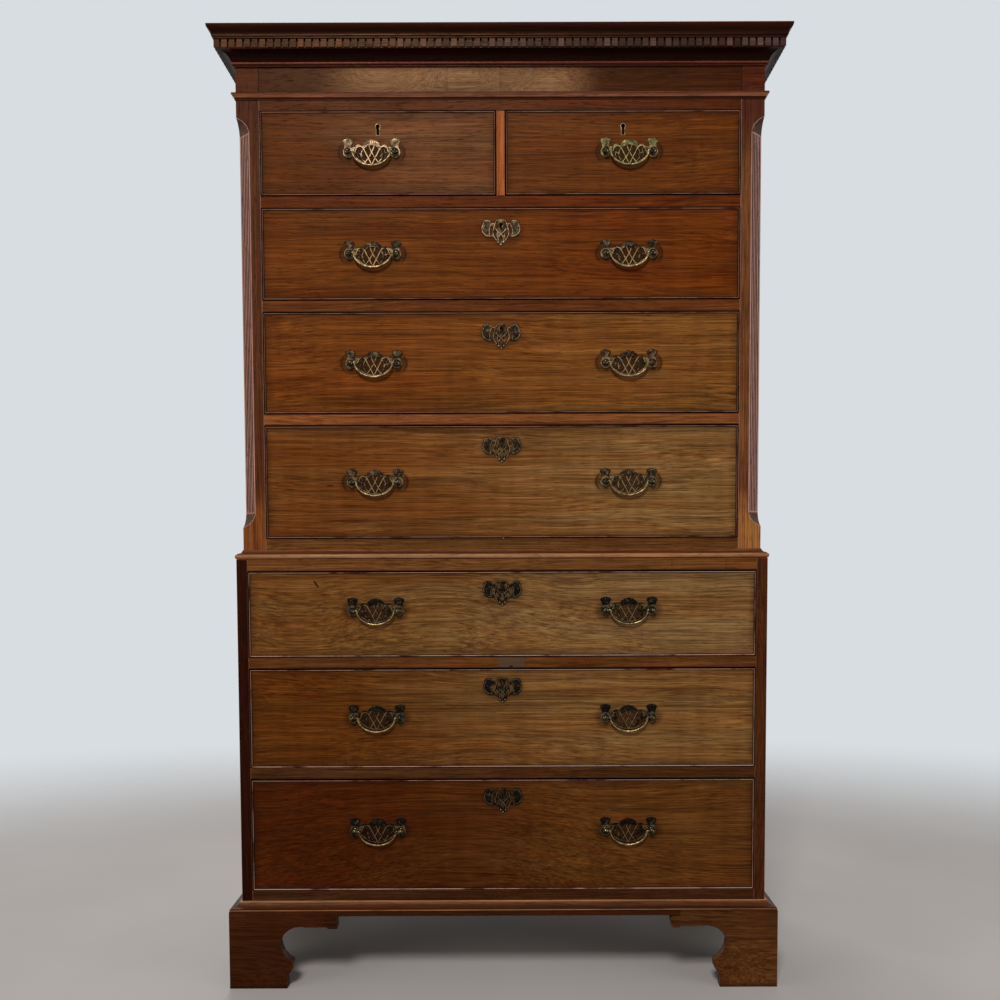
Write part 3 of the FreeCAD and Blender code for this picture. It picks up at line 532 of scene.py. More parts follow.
def front_material(name, corners, left, right, seed, handles, key, marks=(), ghost=0.75,
                   bead=(142, 98, 78), **options):
    """Drawer front from a left to a right colour. handles and key are (x, z) of the brass, ghost is how
    dark the crescents are, and bead is the colour of the cockbeads' painted highlight."""
    g = Graph("mahogany_" + name)
    low, high = corners
    x, y, z = g.here()
    # painted light: the drift from the left to the right colour, the right mostly lighter as lit from the
    # right
    drift = g.line(g.minus(g.noise(g.place(), (3, 3, 9)), 0.5), 0.6, x)
    wide = high.x - low.x
    tone = g.mix(g.span(drift, low.x + 0.15 * wide, low.x + 0.74 * wide), left, right)
    colour, (rough, height) = wood(g, "X", tone, seed, **options)

    beside = g.fold("MINIMUM", g.minus(x, low.x), g.minus(high.x, x))
    edge = g.fold("MINIMUM", beside, g.minus(z, low.z), g.minus(high.z, z))
    cloud = g.noise(g.place(), 14, 4, 0.65)
    from_bead = g.math("DIVIDE", g.minus(edge, BEAD), g.line(cloud, 0.024, BEAD))
    darkening = g.times(g.math("SUBTRACT", 1, from_bead, clamp=True), 0.42)
    # soiling around the brass, with painted shadow below each bail
    darkening = g.fold("MAXIMUM", darkening, *brass_dirt_and_shade(g, x, z, cloud, handles, key, ghost))
    colour = g.mix(darkening, colour, (26, 11, 6))
    for mark in marks:
        colour = g.mix(scratch(g, x, z, *mark), colour, (20, 9, 5))
    colour = worn(g, colour, 0.6)
    behind_beads = g.span(y, low.y + 0.0065, low.y + 0.0085)
    colour = g.mix(behind_beads, beaded(g, colour, beside, edge, bead), colour)
    return polished(g, colour, (g.line(darkening, 0.12, rough), height), 0)


# ---- brass ----
PLATE_ROUGH = (0.56, 0.4)


def brass_material(name, bright, dull, patina, relief="raised", rough=PLATE_ROUGH, fans=0):
    """Old cast brass, brighter on a raised relief, with painted shade at the back of an inlaid one, inside
    the keyhole. fans is how dark a plate's fans and crest stay."""
    g = Graph(name)
    shift = g.times(g.node("ObjectInfo").outputs["Random"], 0.7)
    place = g.vector("ADD", g.place(), g.join(shift, 0, 0))
    stain, fine = g.noise(place, 130, 5, 0.65), g.noise(place, 900, 3, 0.6)
    _, depth, up = g.here()
    if relief == "raised":
        stain = g.line(g.span(depth, -0.00135, -0.00185), 0.28, g.minus(stain, 0.14))
    if fans:
        stain = g.line(g.span(up, 0.0095, 0.012), -fans, stain)
    colour = g.ramp(stain, (0.3, patina), (0.46, dull), (0.66, bright))
    # painted shade inside the keyhole, at the back of an inlaid plate
    if relief == "inlaid":
        colour = g.mix(g.span(depth, 0.0001, 0.0004), colour, (8, 5, 3))
    g.set(Base_Color=colour, Metallic=0.92,
          Roughness=g.line(fine, 0.12, g.span(stain, 0.35, 0.65, *rough)),
          Normal=g.bump(g.line(fine, 0.4, stain), 0.00015))
    return g.data


# ---- modifiers ----
SMOOTH_LIMIT, EASED_FROM = radians(38), radians(42)
WELD = 1e-5  # metres
CASE_EASE, FRONT_EASE = 0.0006, 0.0004  # widths of the eased edges, in metres


def smoothing_group():
    """Welds the faces of each solid, shades them smooth except over sharp edges, and marks the outside
    edges that the bevel eases."""
    group = bpy.data.node_groups.new("smoothing", "GeometryNodeTree")
    for way in ("INPUT", "OUTPUT"):
        group.interface.new_socket("Geometry", in_out=way, socket_type="NodeSocketGeometry")
    link = group.links.new

    def node(kind, **inputs):
        made = group.nodes.new("GeometryNode" + kind)
        for key, value in inputs.items():
            made.inputs[key].default_value = value
        return made

    def compare(value, operation, limit, target):
        test = group.nodes.new("FunctionNodeCompare")
        test.operation = operation
        test.inputs[1].default_value = limit
        link(value, test.inputs[0])
        link(test.outputs[0], target)
    start, end = group.nodes.new("NodeGroupInput"), group.nodes.new("NodeGroupOutput")
    plain, weld = node("RemoveAttribute", Name="custom_normal"), node("MergeByDistance", Distance=WELD)
    split, mark = node("SplitEdges"), node("StoreNamedAttribute", Name="bevel_weight_edge")
    mark.data_type, mark.domain = "FLOAT", "EDGE"
    smooth, sharp = node("SetShadeSmooth"), node("SetShadeSmooth")
    smooth.domain, sharp.domain = "FACE", "EDGE"
    angle = node("InputMeshEdgeAngle").outputs
    compare(node("InputMeshEdgeNeighbors").outputs[0], "GREATER_THAN", 2.5, split.inputs["Selection"])
    compare(angle["Signed Angle"], "GREATER_THAN", EASED_FROM, mark.inputs["Value"])
    compare(angle["Unsigned Angle"], "LESS_THAN", SMOOTH_LIMIT, sharp.inputs["Shade Smooth"])
    chain = [start, plain, weld, split, mark, smooth, sharp, end]
    for one, following in zip(chain, chain[1:]):
        link(one.outputs[0], following.inputs[0])
    return group


SMOOTHING = smoothing_group()


def soften(piece, width=0, edges=0):
    """Smooth shading, and outside edges eased by a width in metres, with the material of a slot."""
    piece.modifiers.new("smoothing", "NODES").node_group = SMOOTHING
    if width:
        bevel = piece.modifiers.new("eased_edges", "BEVEL")
        bevel.width, bevel.segments, bevel.material = width, 2, edges
        bevel.limit_method, bevel.edge_weight = "WEIGHT", "bevel_weight_edge"
        bevel.harden_normals = True


def finish_node(name, material, edge=None, width=0):
    """A CAD node's material, with another for its rubbed edges, which are then eased; a light edge colour is
    also a painted highlight.
    """
    piece = NODES[name]
    piece.data.materials.clear()
    piece.data.materials.append(material)
    if edge:
        piece.data.materials.append(edge)
        width = CASE_EASE
    soften(piece, width, 1 if edge else 0)


# ---- outlines of the brass plates, in millimetres from their centre ----
ARC_STEP = radians(12)


def arc(first, through, last):
    """Points of the arc through three points, without the first."""
    (ax, ay), (bx, by), (cx, cy) = first, through, last
    d = 2 * (ax * (by - cy) + bx * (cy - ay) + cx * (ay - by))
    a, b, c = ax * ax + ay * ay, bx * bx + by * by, cx * cx + cy * cy
    x = (a * (by - cy) + b * (cy - ay) + c * (ay - by)) / d
    y = (a * (cx - bx) + b * (ax - cx) + c * (bx - ax)) / d
    radius = hypot(ax - x, ay - y)
    start, middle, end = (atan2(py - y, px - x) for px, py in (first, through, last))
    turn = (end - start) % tau
    if (middle - start) % tau > turn:
        turn -= tau
    count = max(2, ceil(abs(turn) / ARC_STEP))
    return [(x + radius * cos(start + turn * n / count), y + radius * sin(start + turn * n / count))
            for n in range(1, count + 1)]


def outline(start, *steps):
    """Points of an outline. A step is a point, or a pair: a point on an arc and its end."""
    points = [start]
    for step in steps:
        if isinstance(step[0], tuple):
            points += arc(points[-1], *step)
        else:
            points.append(step)
    return points


def mirrored(points):
    return [(-x, y) for x, y in reversed(points)]


def whole(right_half):
    """Closed outline from its right-hand half, which runs from the bottom to the top point."""
    return right_half + mirrored(right_half)[1:-1]


def ring(x, y, radius):
    left, right = (x - radius, y), (x + radius, y)
    return outline(right, ((x, y + radius), left), ((x, y - radius), right))[:-1]


def keyhole(radius, slot, drop, margin=0):
    """Round hole over a straight slot, larger by a margin."""
    radius, half, drop = radius + margin, slot / 2 + margin, drop + margin
    neck = -sqrt(radius ** 2 - half ** 2)
    return outline((half, neck), ((0, radius), (-half, neck)), (-half, -drop), (half, -drop))


PLATE = whole(outline(
    (0, -24), ((17, -21), (29.6, -11.8)), ((33.4, -8.4), (36.8, -6.4)), ((45.2, -10.4), (53.4, -4.8)),
    ((54.7, 1.8), (51.6, 8.2)), (51.8, 11), ((52.6, 15), (54.7, 18.8)), ((53.6, 23.6), (50.2, 24.4)),
    ((45, 26), (39.8, 24.4)), ((36.2, 23.6), (35.2, 18.8)), ((37.4, 15), (38.2, 11)), (38.2, 8.2),
    ((35.2, 10.6), (31.6, 9.6)), ((25.6, 14.6), (18.4, 11.8)), (15.2, 13.4), ((15, 17.6), (11.2, 18.8)),
    ((8.6, 22.2), (4.6, 21.8)), ((2.4, 23.8), (0, 24))))
PLATE_WINDOWS = [whole(outline(
    (0, -21.4), ((15.2, -18.4), (27.4, -10.2)), (31.2, -7.2), (33, -4), (32.2, 0.6), (33.2, 5.4),
    (30.6, 8), ((25.2, 12.2), (18.6, 9.6)), (15.4, 9.4), (11.8, 11.2), ((6.2, 12.8), (0, 13.2))))]
PLATE_RIBBONS = [  # path, width and top of the raised lines, right half
    ([(31.6, 1.2), (28.4, 9), (22.6, 11.4), (16.4, 8.2), (10.6, -2.4), (4.8, -13.4), (0.6, -22.2)],
     3, -1.85),
    ([(8, 12.6), (14.6, 8), (19, 1.4), (20.2, -6), (17.2, -13.2), (11, -20)], 3, -1.6),
    ([(5, 13), (1.6, 3.6), (-3.4, -5.6), (-8.8, -13.6), (-13.4, -19.2)], 2.9, -1.72),
    ([(33.6, -1.6), (27.2, -0.4), (20.2, -3.4), (16.8, -7.4)], 2.6, -1.55),
    ([(27.4, 8.6), (24.4, 2.6), (26.6, -4.2), (24.6, -10.4)], 2.4, -1.5)]
PLATE_RIMS = [
    ([(0, -22.8), (15.6, -19.8), (28.2, -11.4), (34.8, -6.8)], 1.5, -2.05),
    ([(36.6, 8.2), (33, 8.6), (31, 8.8), (25.4, 13.2), (19, 10.9), (15.4, 11.2)], 1.2, -1.95),
    ([(15, 11.4), (8.6, 13.6), (0, 14.4)], 1.3, -1.95)]

ESCUTCHEON = whole(outline(
    (0, -40.4), ((2.9, -38.4), (2.6, -35.8)), ((6.6, -36.2), (7.6, -32.4)), ((9.2, -28.6), (12.4, -27)),
    (15.6, -23.6), (20.5, -24.4), ((30.5, -22.6), (36, -15.4)), ((38, -7.6), (35.4, 0.4)),
    ((31.6, 8), (25.4, 8.2)), ((22.4, 8.4), (20.8, 5)), (17, 2.6), ((13.4, 1.8), (11.2, 3.6)),
    ((9.4, 8), (5.2, 8.8)), (0, 9.4)))
ESCUTCHEON_WINDOWS = [
    keyhole(2.8, 3.4, 9.5),
    outline((0, -17.4), ((3.6, -21.6), (2.8, -28.2)), (0, -31.8), (-2.8, -28.2),
            ((-3.6, -21.6), (0, -17.4)))[:-1]]
ESCUTCHEON_HALF_WINDOWS = [
    outline((16.2, -2.2), ((20.8, -10.6), (17.6, -20.2)), ((14.4, -10.8), (16.2, -2.2)))[:-1],
    outline((6.4, 5.6), ((9.8, 1.2), (9.4, -4.8)), ((6.4, -7.4), (5.8, -3)), ((5.6, 1.6), (6.4, 5.6)))[:-1],
    outline((10.4, -12), ((13.4, -18.2), (10.4, -25.4)), ((8.2, -19), (10.4, -12)))[:-1],
    ring(30.2, -6.2, 1.7)]
ESCUTCHEON_RIBBONS = [
    ([(20.2, 3.4), (23.4, 6.4), (30.4, 5.6), (33.8, -0.4), (36.2, -8.2), (33.8, -16), (27.6, -21),
      (21, -22.6)], 1.5, -1.75),
    ([(21, -22.6), (22.2, -15), (21.6, -7), (17.8, 1), (12.6, 1)], 1.4, -1.7),
    ([(11, 2), (13.2, -6.8), (15.4, -14.6), (13.4, -22.4), (8.4, -30.4)], 1.7, -1.75),
    ([(4.6, -12.6), (7.4, -19), (5.8, -26), (5, -33)], 1.7, -1.65),
    ([(10.6, -7.4), (6, -13.4), (0, -18.2), (-4.8, -24.6)], 1.6, -1.85),
    ([(10.6, 1.6), (8.6, 6.4), (4, 7.6), (0, 8)], 1.5, -1.75),
    ([(0, 4.6), (3.4, 3.4), (4.6, 0), (3.4, -4.6), (3.4, -9.4), (2.2, -12.6), (0, -13.6)], 1.1, -1.6)]
ESCUTCHEON_BALLS = [(-5, -33.6), (5, -33.6), (0, -38)]


# ---- brass pieces, in millimetres: x across, y towards the drawer, z up ----
PLATE_THICKNESS = 1.6
SPAN = 45  # from the middle of a handle to each post
STANDOFF = 9  # pin axis in front of the drawer face
FRONT_THICKNESS, NUT_WIDTH = 20, 10
DROP, HALF_WIDTH = 26.5, 35.6  # the bail's bow
GRIP, BOW_END, PIN = 2.3, 1.5, 1.6  # its radii
RING = 8.7  # radius of the raised ring around a post
LOCK_HALF, LOCK_HEIGHT, LOCK_DEPTH, CAP = 30, 46, 10, 1.6
BOLT_HALF, BOLT_DEPTH = 7, 4


def filled(outlines, thickness, edge):
    """Flat plate with holes and eased edges, its back at y 0."""
    data = bpy.data.curves.new("outlines", "CURVE")
    data.dimensions, data.fill_mode = "2D", "BOTH"
    data.extrude = thickness / 2 - edge
    data.bevel_depth, data.bevel_resolution = edge, 1
    data.offset = -edge
    for points in outlines:
        spline = data.splines.new("POLY")
        spline.points.add(len(points) - 1)
        for point, (x, y) in zip(spline.points, points):
            point.co = (x, y, 0, 1)
        spline.use_cyclic_u = True
    mesh = converted(data)
    mesh.transform(Matrix(((1, 0, 0, 0), (0, 0, -1, -thickness / 2), (0, 1, 0, 0), (0, 0, 0, 1))))
    return mesh


def converted(data):
    """Mesh of a curve, which is then removed."""
    curve = add_object("curve", data)
    bpy.context.view_layer.update()
    mesh = bpy.data.meshes.new_from_object(curve.evaluated_get(bpy.context.evaluated_depsgraph_get()))
    bpy.data.objects.remove(curve)
    bpy.data.curves.remove(data)
    return mesh


def rod(points, radii):
    """Round bar along a smooth line, its radius given at each point."""
    data = bpy.data.curves.new("line", "CURVE")
    data.dimensions, data.resolution_u, data.use_fill_caps = "3D", 5, True
    data.bevel_depth, data.bevel_resolution = 1, 4
    spline = data.splines.new("NURBS")
    spline.points.add(len(points) - 1)
    for point, place, radius in zip(spline.points, points, radii):
        point.co, point.radius = (*place, 1), radius
    spline.order_u, spline.use_endpoint_u = 3, True
    return converted(data)


def loft(made, rings):
    """Adds the skin over rings of as many points each, with a cap at both ends, to a bmesh."""
    for one, following in zip(rings, rings[1:]):
        for n in range(len(one)):
            after = (n + 1) % len(one)
            made.faces.new((one[n], one[after], following[after], following[n]))
    made.faces.new(rings[0][::-1])
    made.faces.new(rings[-1])


def turned(made, profile, x=0, z=0, steps=28):
    """Adds a turned form about an axis along y. profile is (radius, y)."""
    angles = [tau * n / steps for n in range(steps)]
    loft(made, [[made.verts.new((x + radius * cos(angle), y, z + radius * sin(angle))) for angle in angles]
                for radius, y in profile])


def square_to(start, end):
    """Unit vector square to the way from one point to another."""
    length = hypot(end[0] - start[0], end[1] - start[1])
    return -(end[1] - start[1]) / length, (end[0] - start[0]) / length


def ridge(made, start, end, widths, top, height):
    """Adds a tapered rib on a plate, from one point of it to another; top is the plate's face."""
    side_x, side_z = square_to(start, end)
    a, b, c, d = [made.verts.new((x + side_x * width * sign / 2, top, z + side_z * width * sign / 2))
                  for (x, z), width in zip((start, end), widths) for sign in (1, -1)]
    near, far = [made.verts.new((start[0] + (end[0] - start[0]) * part, top - height,
                                 start[1] + (end[1] - start[1]) * part)) for part in (0.12, 0.88)]
    for face in ((a, c, far, near), (d, b, near, far), (b, a, near), (c, d, far), (a, b, d, c)):
        made.faces.new(face)


def smooth_line(points, steps=3):
    """Points of the Catmull-Rom line through the given ones."""
    padded = [points[0]] + list(points) + [points[-1]]
    line = []
    for span in zip(padded, padded[1:], padded[2:], padded[3:]):
        for t in (n / steps for n in range(steps)):
            line.append(tuple(0.5 * (2 * b + (c - a) * t + (2 * a - 5 * b + 4 * c - d) * t * t
                                     + (3 * b - a - 3 * c + d) * t ** 3) for a, b, c, d in zip(*span)))
    return line + [points[-1]]


def ribbon(made, points, width, low, high):
    """Adds a strip with sloping sides along a smooth line; low and high are the y of its foot and top."""
    line = smooth_line(points)
    rows = []
    for (x, z), before, after in zip(line, line[:1] + line, line[1:] + line[-1:]):
        side_x, side_z = square_to(before, after)
        rows.append([made.verts.new((x + side_x * off * width, y, z + side_z * off * width))
                     for off, y in ((-0.5, low), (-0.26, high), (0.26, high), (0.5, low))])
    loft(made, rows)


def ribbons(made, lines, low):
    """Both halves of a plate's raised lines, the left one a hair higher where they cross."""
    for points, width, high in lines:
        ribbon(made, points, width, low, high)
        ribbon(made, mirrored(points), width, low, high - 0.02)


def box(made, x, y, z):
    corners = [made.verts.new((a, b, c)) for a in x for b in y for c in z]
    for face in ((0, 1, 3, 2), (4, 6, 7, 5), (0, 4, 5, 1), (2, 3, 7, 6), (0, 2, 6, 4), (1, 5, 7, 3)):
        made.faces.new([corners[n] for n in face])


def mesh_of(name, *parts):
    """One mesh in metres from meshes and functions that add to a bmesh."""
    made = bmesh.new()
    for part in parts:
        if isinstance(part, bpy.types.Mesh):
            made.from_mesh(part)
            bpy.data.meshes.remove(part)
        else:
            part(made)
    bmesh.ops.recalc_face_normals(made, faces=made.faces)
    bmesh.ops.scale(made, vec=(MM, MM, MM), verts=made.verts)
    mesh = bpy.data.meshes.new(name)
    made.to_mesh(mesh)
    made.free()
    return mesh


def plate_chasing(made):
    """Interlaced lines in the window, rims, a ring around each post, and rays in the fans and crest."""
    face = -PLATE_THICKNESS + 0.02
    ribbons(made, PLATE_RIBBONS, -0.35)
    ribbons(made, PLATE_RIMS, -PLATE_THICKNESS + 0.1)
    for side in (-1, 1):
        circle = [(side * (SPAN - 0.1) + RING * cos(angle), 0.4 + RING * sin(angle))
                  for angle in (tau * n / 10 for n in range(10))]
        ribbon(made, circle + circle[:1], 1.5, face, -2.05)
        for lean in (n * 0.4 for n in range(-2, 3)):
            tip = (side * (SPAN + 10 * sin(lean)), 13.6 + 10.2 * cos(lean * 0.8))
            ridge(made, (side * (SPAN + 2.4 * lean), 11), tip, (0.9, 2.7), face, 0.6)
    for lean in (n * 0.44 for n in range(-3, 4)):
        tip = (11.4 * sin(lean), 15.6 + 6.4 * cos(lean))
        ridge(made, (3.4 * lean, 14.8 - 0.5 * abs(lean)), tip, (0.8, 2.2), face, 0.5)


def escutcheon_relief(made):
    """Raised lines of the keyhole plate, the three beads at its tip and the rays of its ears."""
    ribbons(made, ESCUTCHEON_RIBBONS, -1.15)
    for x, z in ESCUTCHEON_BALLS:
        turned(made, [(1.9, -1), (1.8, -1.6), (1.3, -2.1), (0.6, -2.3)], x, z, 12)
    for side in (-1, 1):
        for number in range(3):
            foot = (side * (23.4 + 0.6 * number), -3 - 5.4 * number)
            ridge(made, foot, (side * (28.4 + 1.4 * number), -2.4 - 4.8 * number), (0.6, 1.4), -1.25, 0.35)


def handle_posts(made):
    """For each post a collar, neck, ball round the pin and button in front, a shank through the drawer
    front, and a square nut with a domed face inside."""
    plate, axis, inside, half = -PLATE_THICKNESS, -STANDOFF, FRONT_THICKNESS, NUT_WIDTH / 2
    ball = [(6.6 * sin(radians(a)), axis + 5 * cos(radians(a))) for a in range(28, 157, 16)]
    front = ([(5.6, plate), (5.8, plate - 0.7), (5, plate - 1.3), (3.3, plate - 1.7), (3, plate - 2.6)]
             + ball + [(2.2, axis - 4.9), (1.2, axis - 5.2)])
    shank = [(2.2, 0), (2.2, inside + 2), (2, inside + 2.3), (2.2, inside + 2.5), (1.7, inside + 3)]
    dome = [(half - 0.2, inside + 1.8), (half - 0.9, inside + 2.4), (3, inside + 2.7), (2.3, inside + 2.7)]
    for x in (-SPAN, SPAN):
        turned(made, front, x)
        turned(made, shank, x, steps=16)
        box(made, (x - half, x + half), (inside, inside + 1.9), (-half, half))
        turned(made, dome, x, steps=20)


def bail_mesh():
    """Swan-neck grip, hanging from its pins."""
    right = [(SPAN + 0.6, 0), (SPAN - 3, 0), (39.6, 0.1), (36.7, 1.2), (35.4, -1.6), (35.4, -5.4)]
    radii = [PIN, PIN, 1.75, 1.9, 1.75, BOW_END]
    for angle in (radians(degrees) for degrees in range(22, 83, 12)):
        right.append((HALF_WIDTH * cos(angle), -DROP * sin(angle)))
        radii.append(BOW_END + (GRIP - BOW_END) * sin(angle) ** 2)
    right.append((2.4, -DROP))
    radii.append(GRIP)
    points = [(x, 0, z) for x, z in right] + [(0, 0, -DROP)] + [(-x, 0, z) for x, z in reversed(right)]
    return rod(points, radii + [GRIP + 0.45] + radii[::-1])


def lock_parts(key_below, hole):
    """Drawer lock, its top at z 0: case with a hole for the key and its pin, cap, flange, bolt drawn in
    and four screws. y 0 is the inside of the drawer front."""
    wide = (-LOCK_HALF, LOCK_HALF)
    case = [(-LOCK_HALF, -LOCK_HEIGHT), (LOCK_HALF, -LOCK_HEIGHT), (LOCK_HALF, -CAP), (-LOCK_HALF, -CAP)]
    front = filled([case, [(x, z - key_below) for x, z in hole]], LOCK_DEPTH - CAP, 0.3)
    front.transform(Matrix.Translation((0, -CAP, 0)))

    def rest(made):
        box(made, wide, (-CAP, 0), (-LOCK_HEIGHT, 0))
        box(made, wide, (-LOCK_DEPTH, -CAP), (-CAP, 0))
        bolt = [(-LOCK_DEPTH - BOLT_DEPTH) / 2, (-LOCK_DEPTH + BOLT_DEPTH) / 2]
        box(made, (-BOLT_HALF, BOLT_HALF), bolt, (-0.8, 0.3))
        turned(made, [(1.1, -LOCK_DEPTH + 1), (1.1, -CAP)], 0, -key_below, 12)
        for x in (-24, 24):
            for z in (-8, -38):
                turned(made, [(2.6, 0), (2.4, 0.5), (1.2, 0.75)], x, z, 12)
    return front, rest


def add_piece(name, mesh, metal, body, place):
    """An object that rides on a body. The mesh is shared, so the object holds its own material."""
    mesh, material = MESHES[mesh], METALS[metal]
    if not mesh.materials:
        mesh.materials.append(material)
    piece = add_object(name, mesh)
    piece.material_slots[0].link = "OBJECT"
    piece.material_slots[0].material = material
    piece.location = place
    soften(piece)
    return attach(piece, body)


# ---- the drawers' looks ----
# left and right colour (the right one mostly lighter, partly painted light from the right), seed of the
# # grain, brass of the handle plates and of the keyhole plate, and options of front_material
PALE = {"ghost": 0, "bead": (176, 138, 120)}  # the lower drawers' paler painted highlight on the beads, and no crescents
FRONTS = {
    "short_drawer_left": ((71, 33, 8), (86, 51, 28), 11.2, "gold", "threads", {}),
    "short_drawer_right": ((83, 43, 14), (84, 42, 12), 12.9, "olive", "threads", {}),
    "upper_drawer_1": ((87, 43, 11), (89, 41, 9), 14.1, "plate", "gold", {}),
    "upper_drawer_2": ((96, 50, 16), (104, 65, 28), 15.6, "plate", "plate", {}),
    "upper_drawer_3": ((94, 53, 21), (111, 77, 42), 16.8, "plate", "plate", {
        "marks": [(-0.333, 0.98, 0.009, 0.0014, 5)]}),
    "lower_drawer_1": ((98, 62, 28), (109, 79, 46), 18.4, "dark", "dark", {
        **PALE, "figure": 1.5, "marks": [(-0.36, 0.79, 0.01, 0.0024, -55)],
        "swirls": [(-0.385, 0.735, 0.15, 0.016), (-0.15, 0.7, 0.2, -0.012)]}),
    "lower_drawer_2": ((80, 42, 11), (106, 73, 39), 19.7, "dark", "dark", {**PALE, "figure": 1.2}),
    "lower_drawer_3": ((59, 23, 4), (80, 46, 17), 21.3, "dark", "dark", {
        **PALE, "figure": 1.2, "swirls": [(-0.08, 0.215, 0.46, -0.05)]})}
# millimetres: the keyhole under a front's top, and radius, slot and drop of the two kinds of keyhole
KEY_BELOW = {"upper": 31, "short": 28.5, "lower": 27}
SMALL_HOLE, LARGE_HOLE = (2.8, 3.4, 9.5), (3.1, 3.8, 15.3)
BEAD_PROUD = 2  # the cockbeads stand proud of the face


def finish_drawer(name):
    """Materials of a drawer's woodwork and its brass, all placed from the CAD."""
    left, right, seed, plate_brass, key_brass, options = FRONTS[name]
    low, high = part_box(name + "_front")
    kind = name.split("_")[0]
    face = low.y + BEAD_PROUD * MM
    key = Vector(((low.x + high.x) / 2, face, high.z - KEY_BELOW[kind] * MM))
    hinges = [joint for joint in frame["joints"] if joint["parent"] == name]
    handles = [(joint["pos_m"][0], joint["pos_m"][2]) for joint in hinges]
    key_dirt = None if kind == "short" else (key.x, key.z - 0.012)
    material = front_material(name, (low, high), left, right, seed, handles, key_dirt, **options)
    finish_node(name + "_front", material, width=FRONT_EASE)

    for joint in hinges:
        x, y, z = joint["pos_m"]
        label = joint["child"].replace("_bail", "_handle")
        plate = add_piece(label + "_plate", "handle_plate", plate_brass, name, (x, face, z))
        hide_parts(name + "_brass")
        add_piece(label + "_posts", "handle_posts", "posts", name, (x, face, z))
        grip = add_piece(joint["child"] + "_grip", "handle_bail", "bails", joint["child"], (x, y, z))
        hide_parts(joint["child"])
    plate = "keyhole_thread" if kind == "short" else "escutcheon"
    add_piece(name + "_keyhole_plate", plate, key_brass, name, key)
    add_piece(name + "_lock", kind + "_lock", "lock", name, (key.x, face + FRONT_THICKNESS * MM, high.z))


def brass_meshes():
    """The meshes that the handles, keyholes and locks share."""
    halves = ESCUTCHEON_HALF_WINDOWS
    key_plate = [ESCUTCHEON] + ESCUTCHEON_WINDOWS + halves + [mirrored(window) for window in halves]
    handle_plate = [PLATE] + PLATE_WINDOWS
    outer, middle, inner = (keyhole(*LARGE_HOLE, margin) for margin in (2, 1.1, 0))
    thread = [filled([outer, middle], 3.1, 0.1), filled([middle, inner], 2.5, 0.1)]
    for part in thread:
        part.transform(Matrix.Translation((0, 3, 0)))
    meshes = [
        mesh_of("handle_plate", filled(handle_plate, PLATE_THICKNESS, 0.25), plate_chasing),
        mesh_of("handle_posts", handle_posts),
        mesh_of("handle_bail", bail_mesh()),
        mesh_of("escutcheon", filled(key_plate, 1.3, 0.2), escutcheon_relief),
        mesh_of("keyhole_thread", *thread)]
    for kind, below in KEY_BELOW.items():
        hole = keyhole(*(LARGE_HOLE if kind == "short" else SMALL_HOLE))
        meshes.append(mesh_of(kind + "_lock", *lock_parts(below, hole)))
    return {mesh.name: mesh for mesh in meshes}


# bright, dull and patina colour, relief, range of roughness and darkness of the fans
METALS = {name: brass_material("brass_" + name, *look) for name, look in {
    "gold": ((146, 120, 92), (74, 60, 39), (32, 25, 16)),
    "olive": ((116, 104, 66), (58, 52, 30), (30, 28, 16)),
    "plate": ((126, 102, 70), (48, 37, 24), (20, 16, 10), "raised", PLATE_ROUGH, 0.13),
    "dark": ((108, 88, 60), (24, 18, 12), (9, 7, 5), "raised", PLATE_ROUGH, 0.2),
    # the posts' dark brass is patina and a painted dark reflection in their balls
    "posts": ((96, 82, 58), (38, 31, 21), (15, 12, 9), "plain", (0.22, 0.12)),
    "bails": ((160, 136, 96), (100, 82, 50), (52, 41, 24), "plain", (0.4, 0.26)),
    "threads": ((160, 132, 100), (110, 88, 62), (60, 46, 30), "inlaid"),
    "lock": ((172, 146, 92), (130, 106, 64), (82, 68, 44), "plain")}.items()}
# light edges: rubbed wood, and painted highlights on the arrises
WARM_EDGE = edge_material("mahogany_edges", "turning", (112, 64, 42), 4.2)
DARK_EDGE = edge_material("mahogany_dark_edges", "turning", (58, 28, 14), 5.2)
LINING = (154, 118, 74)


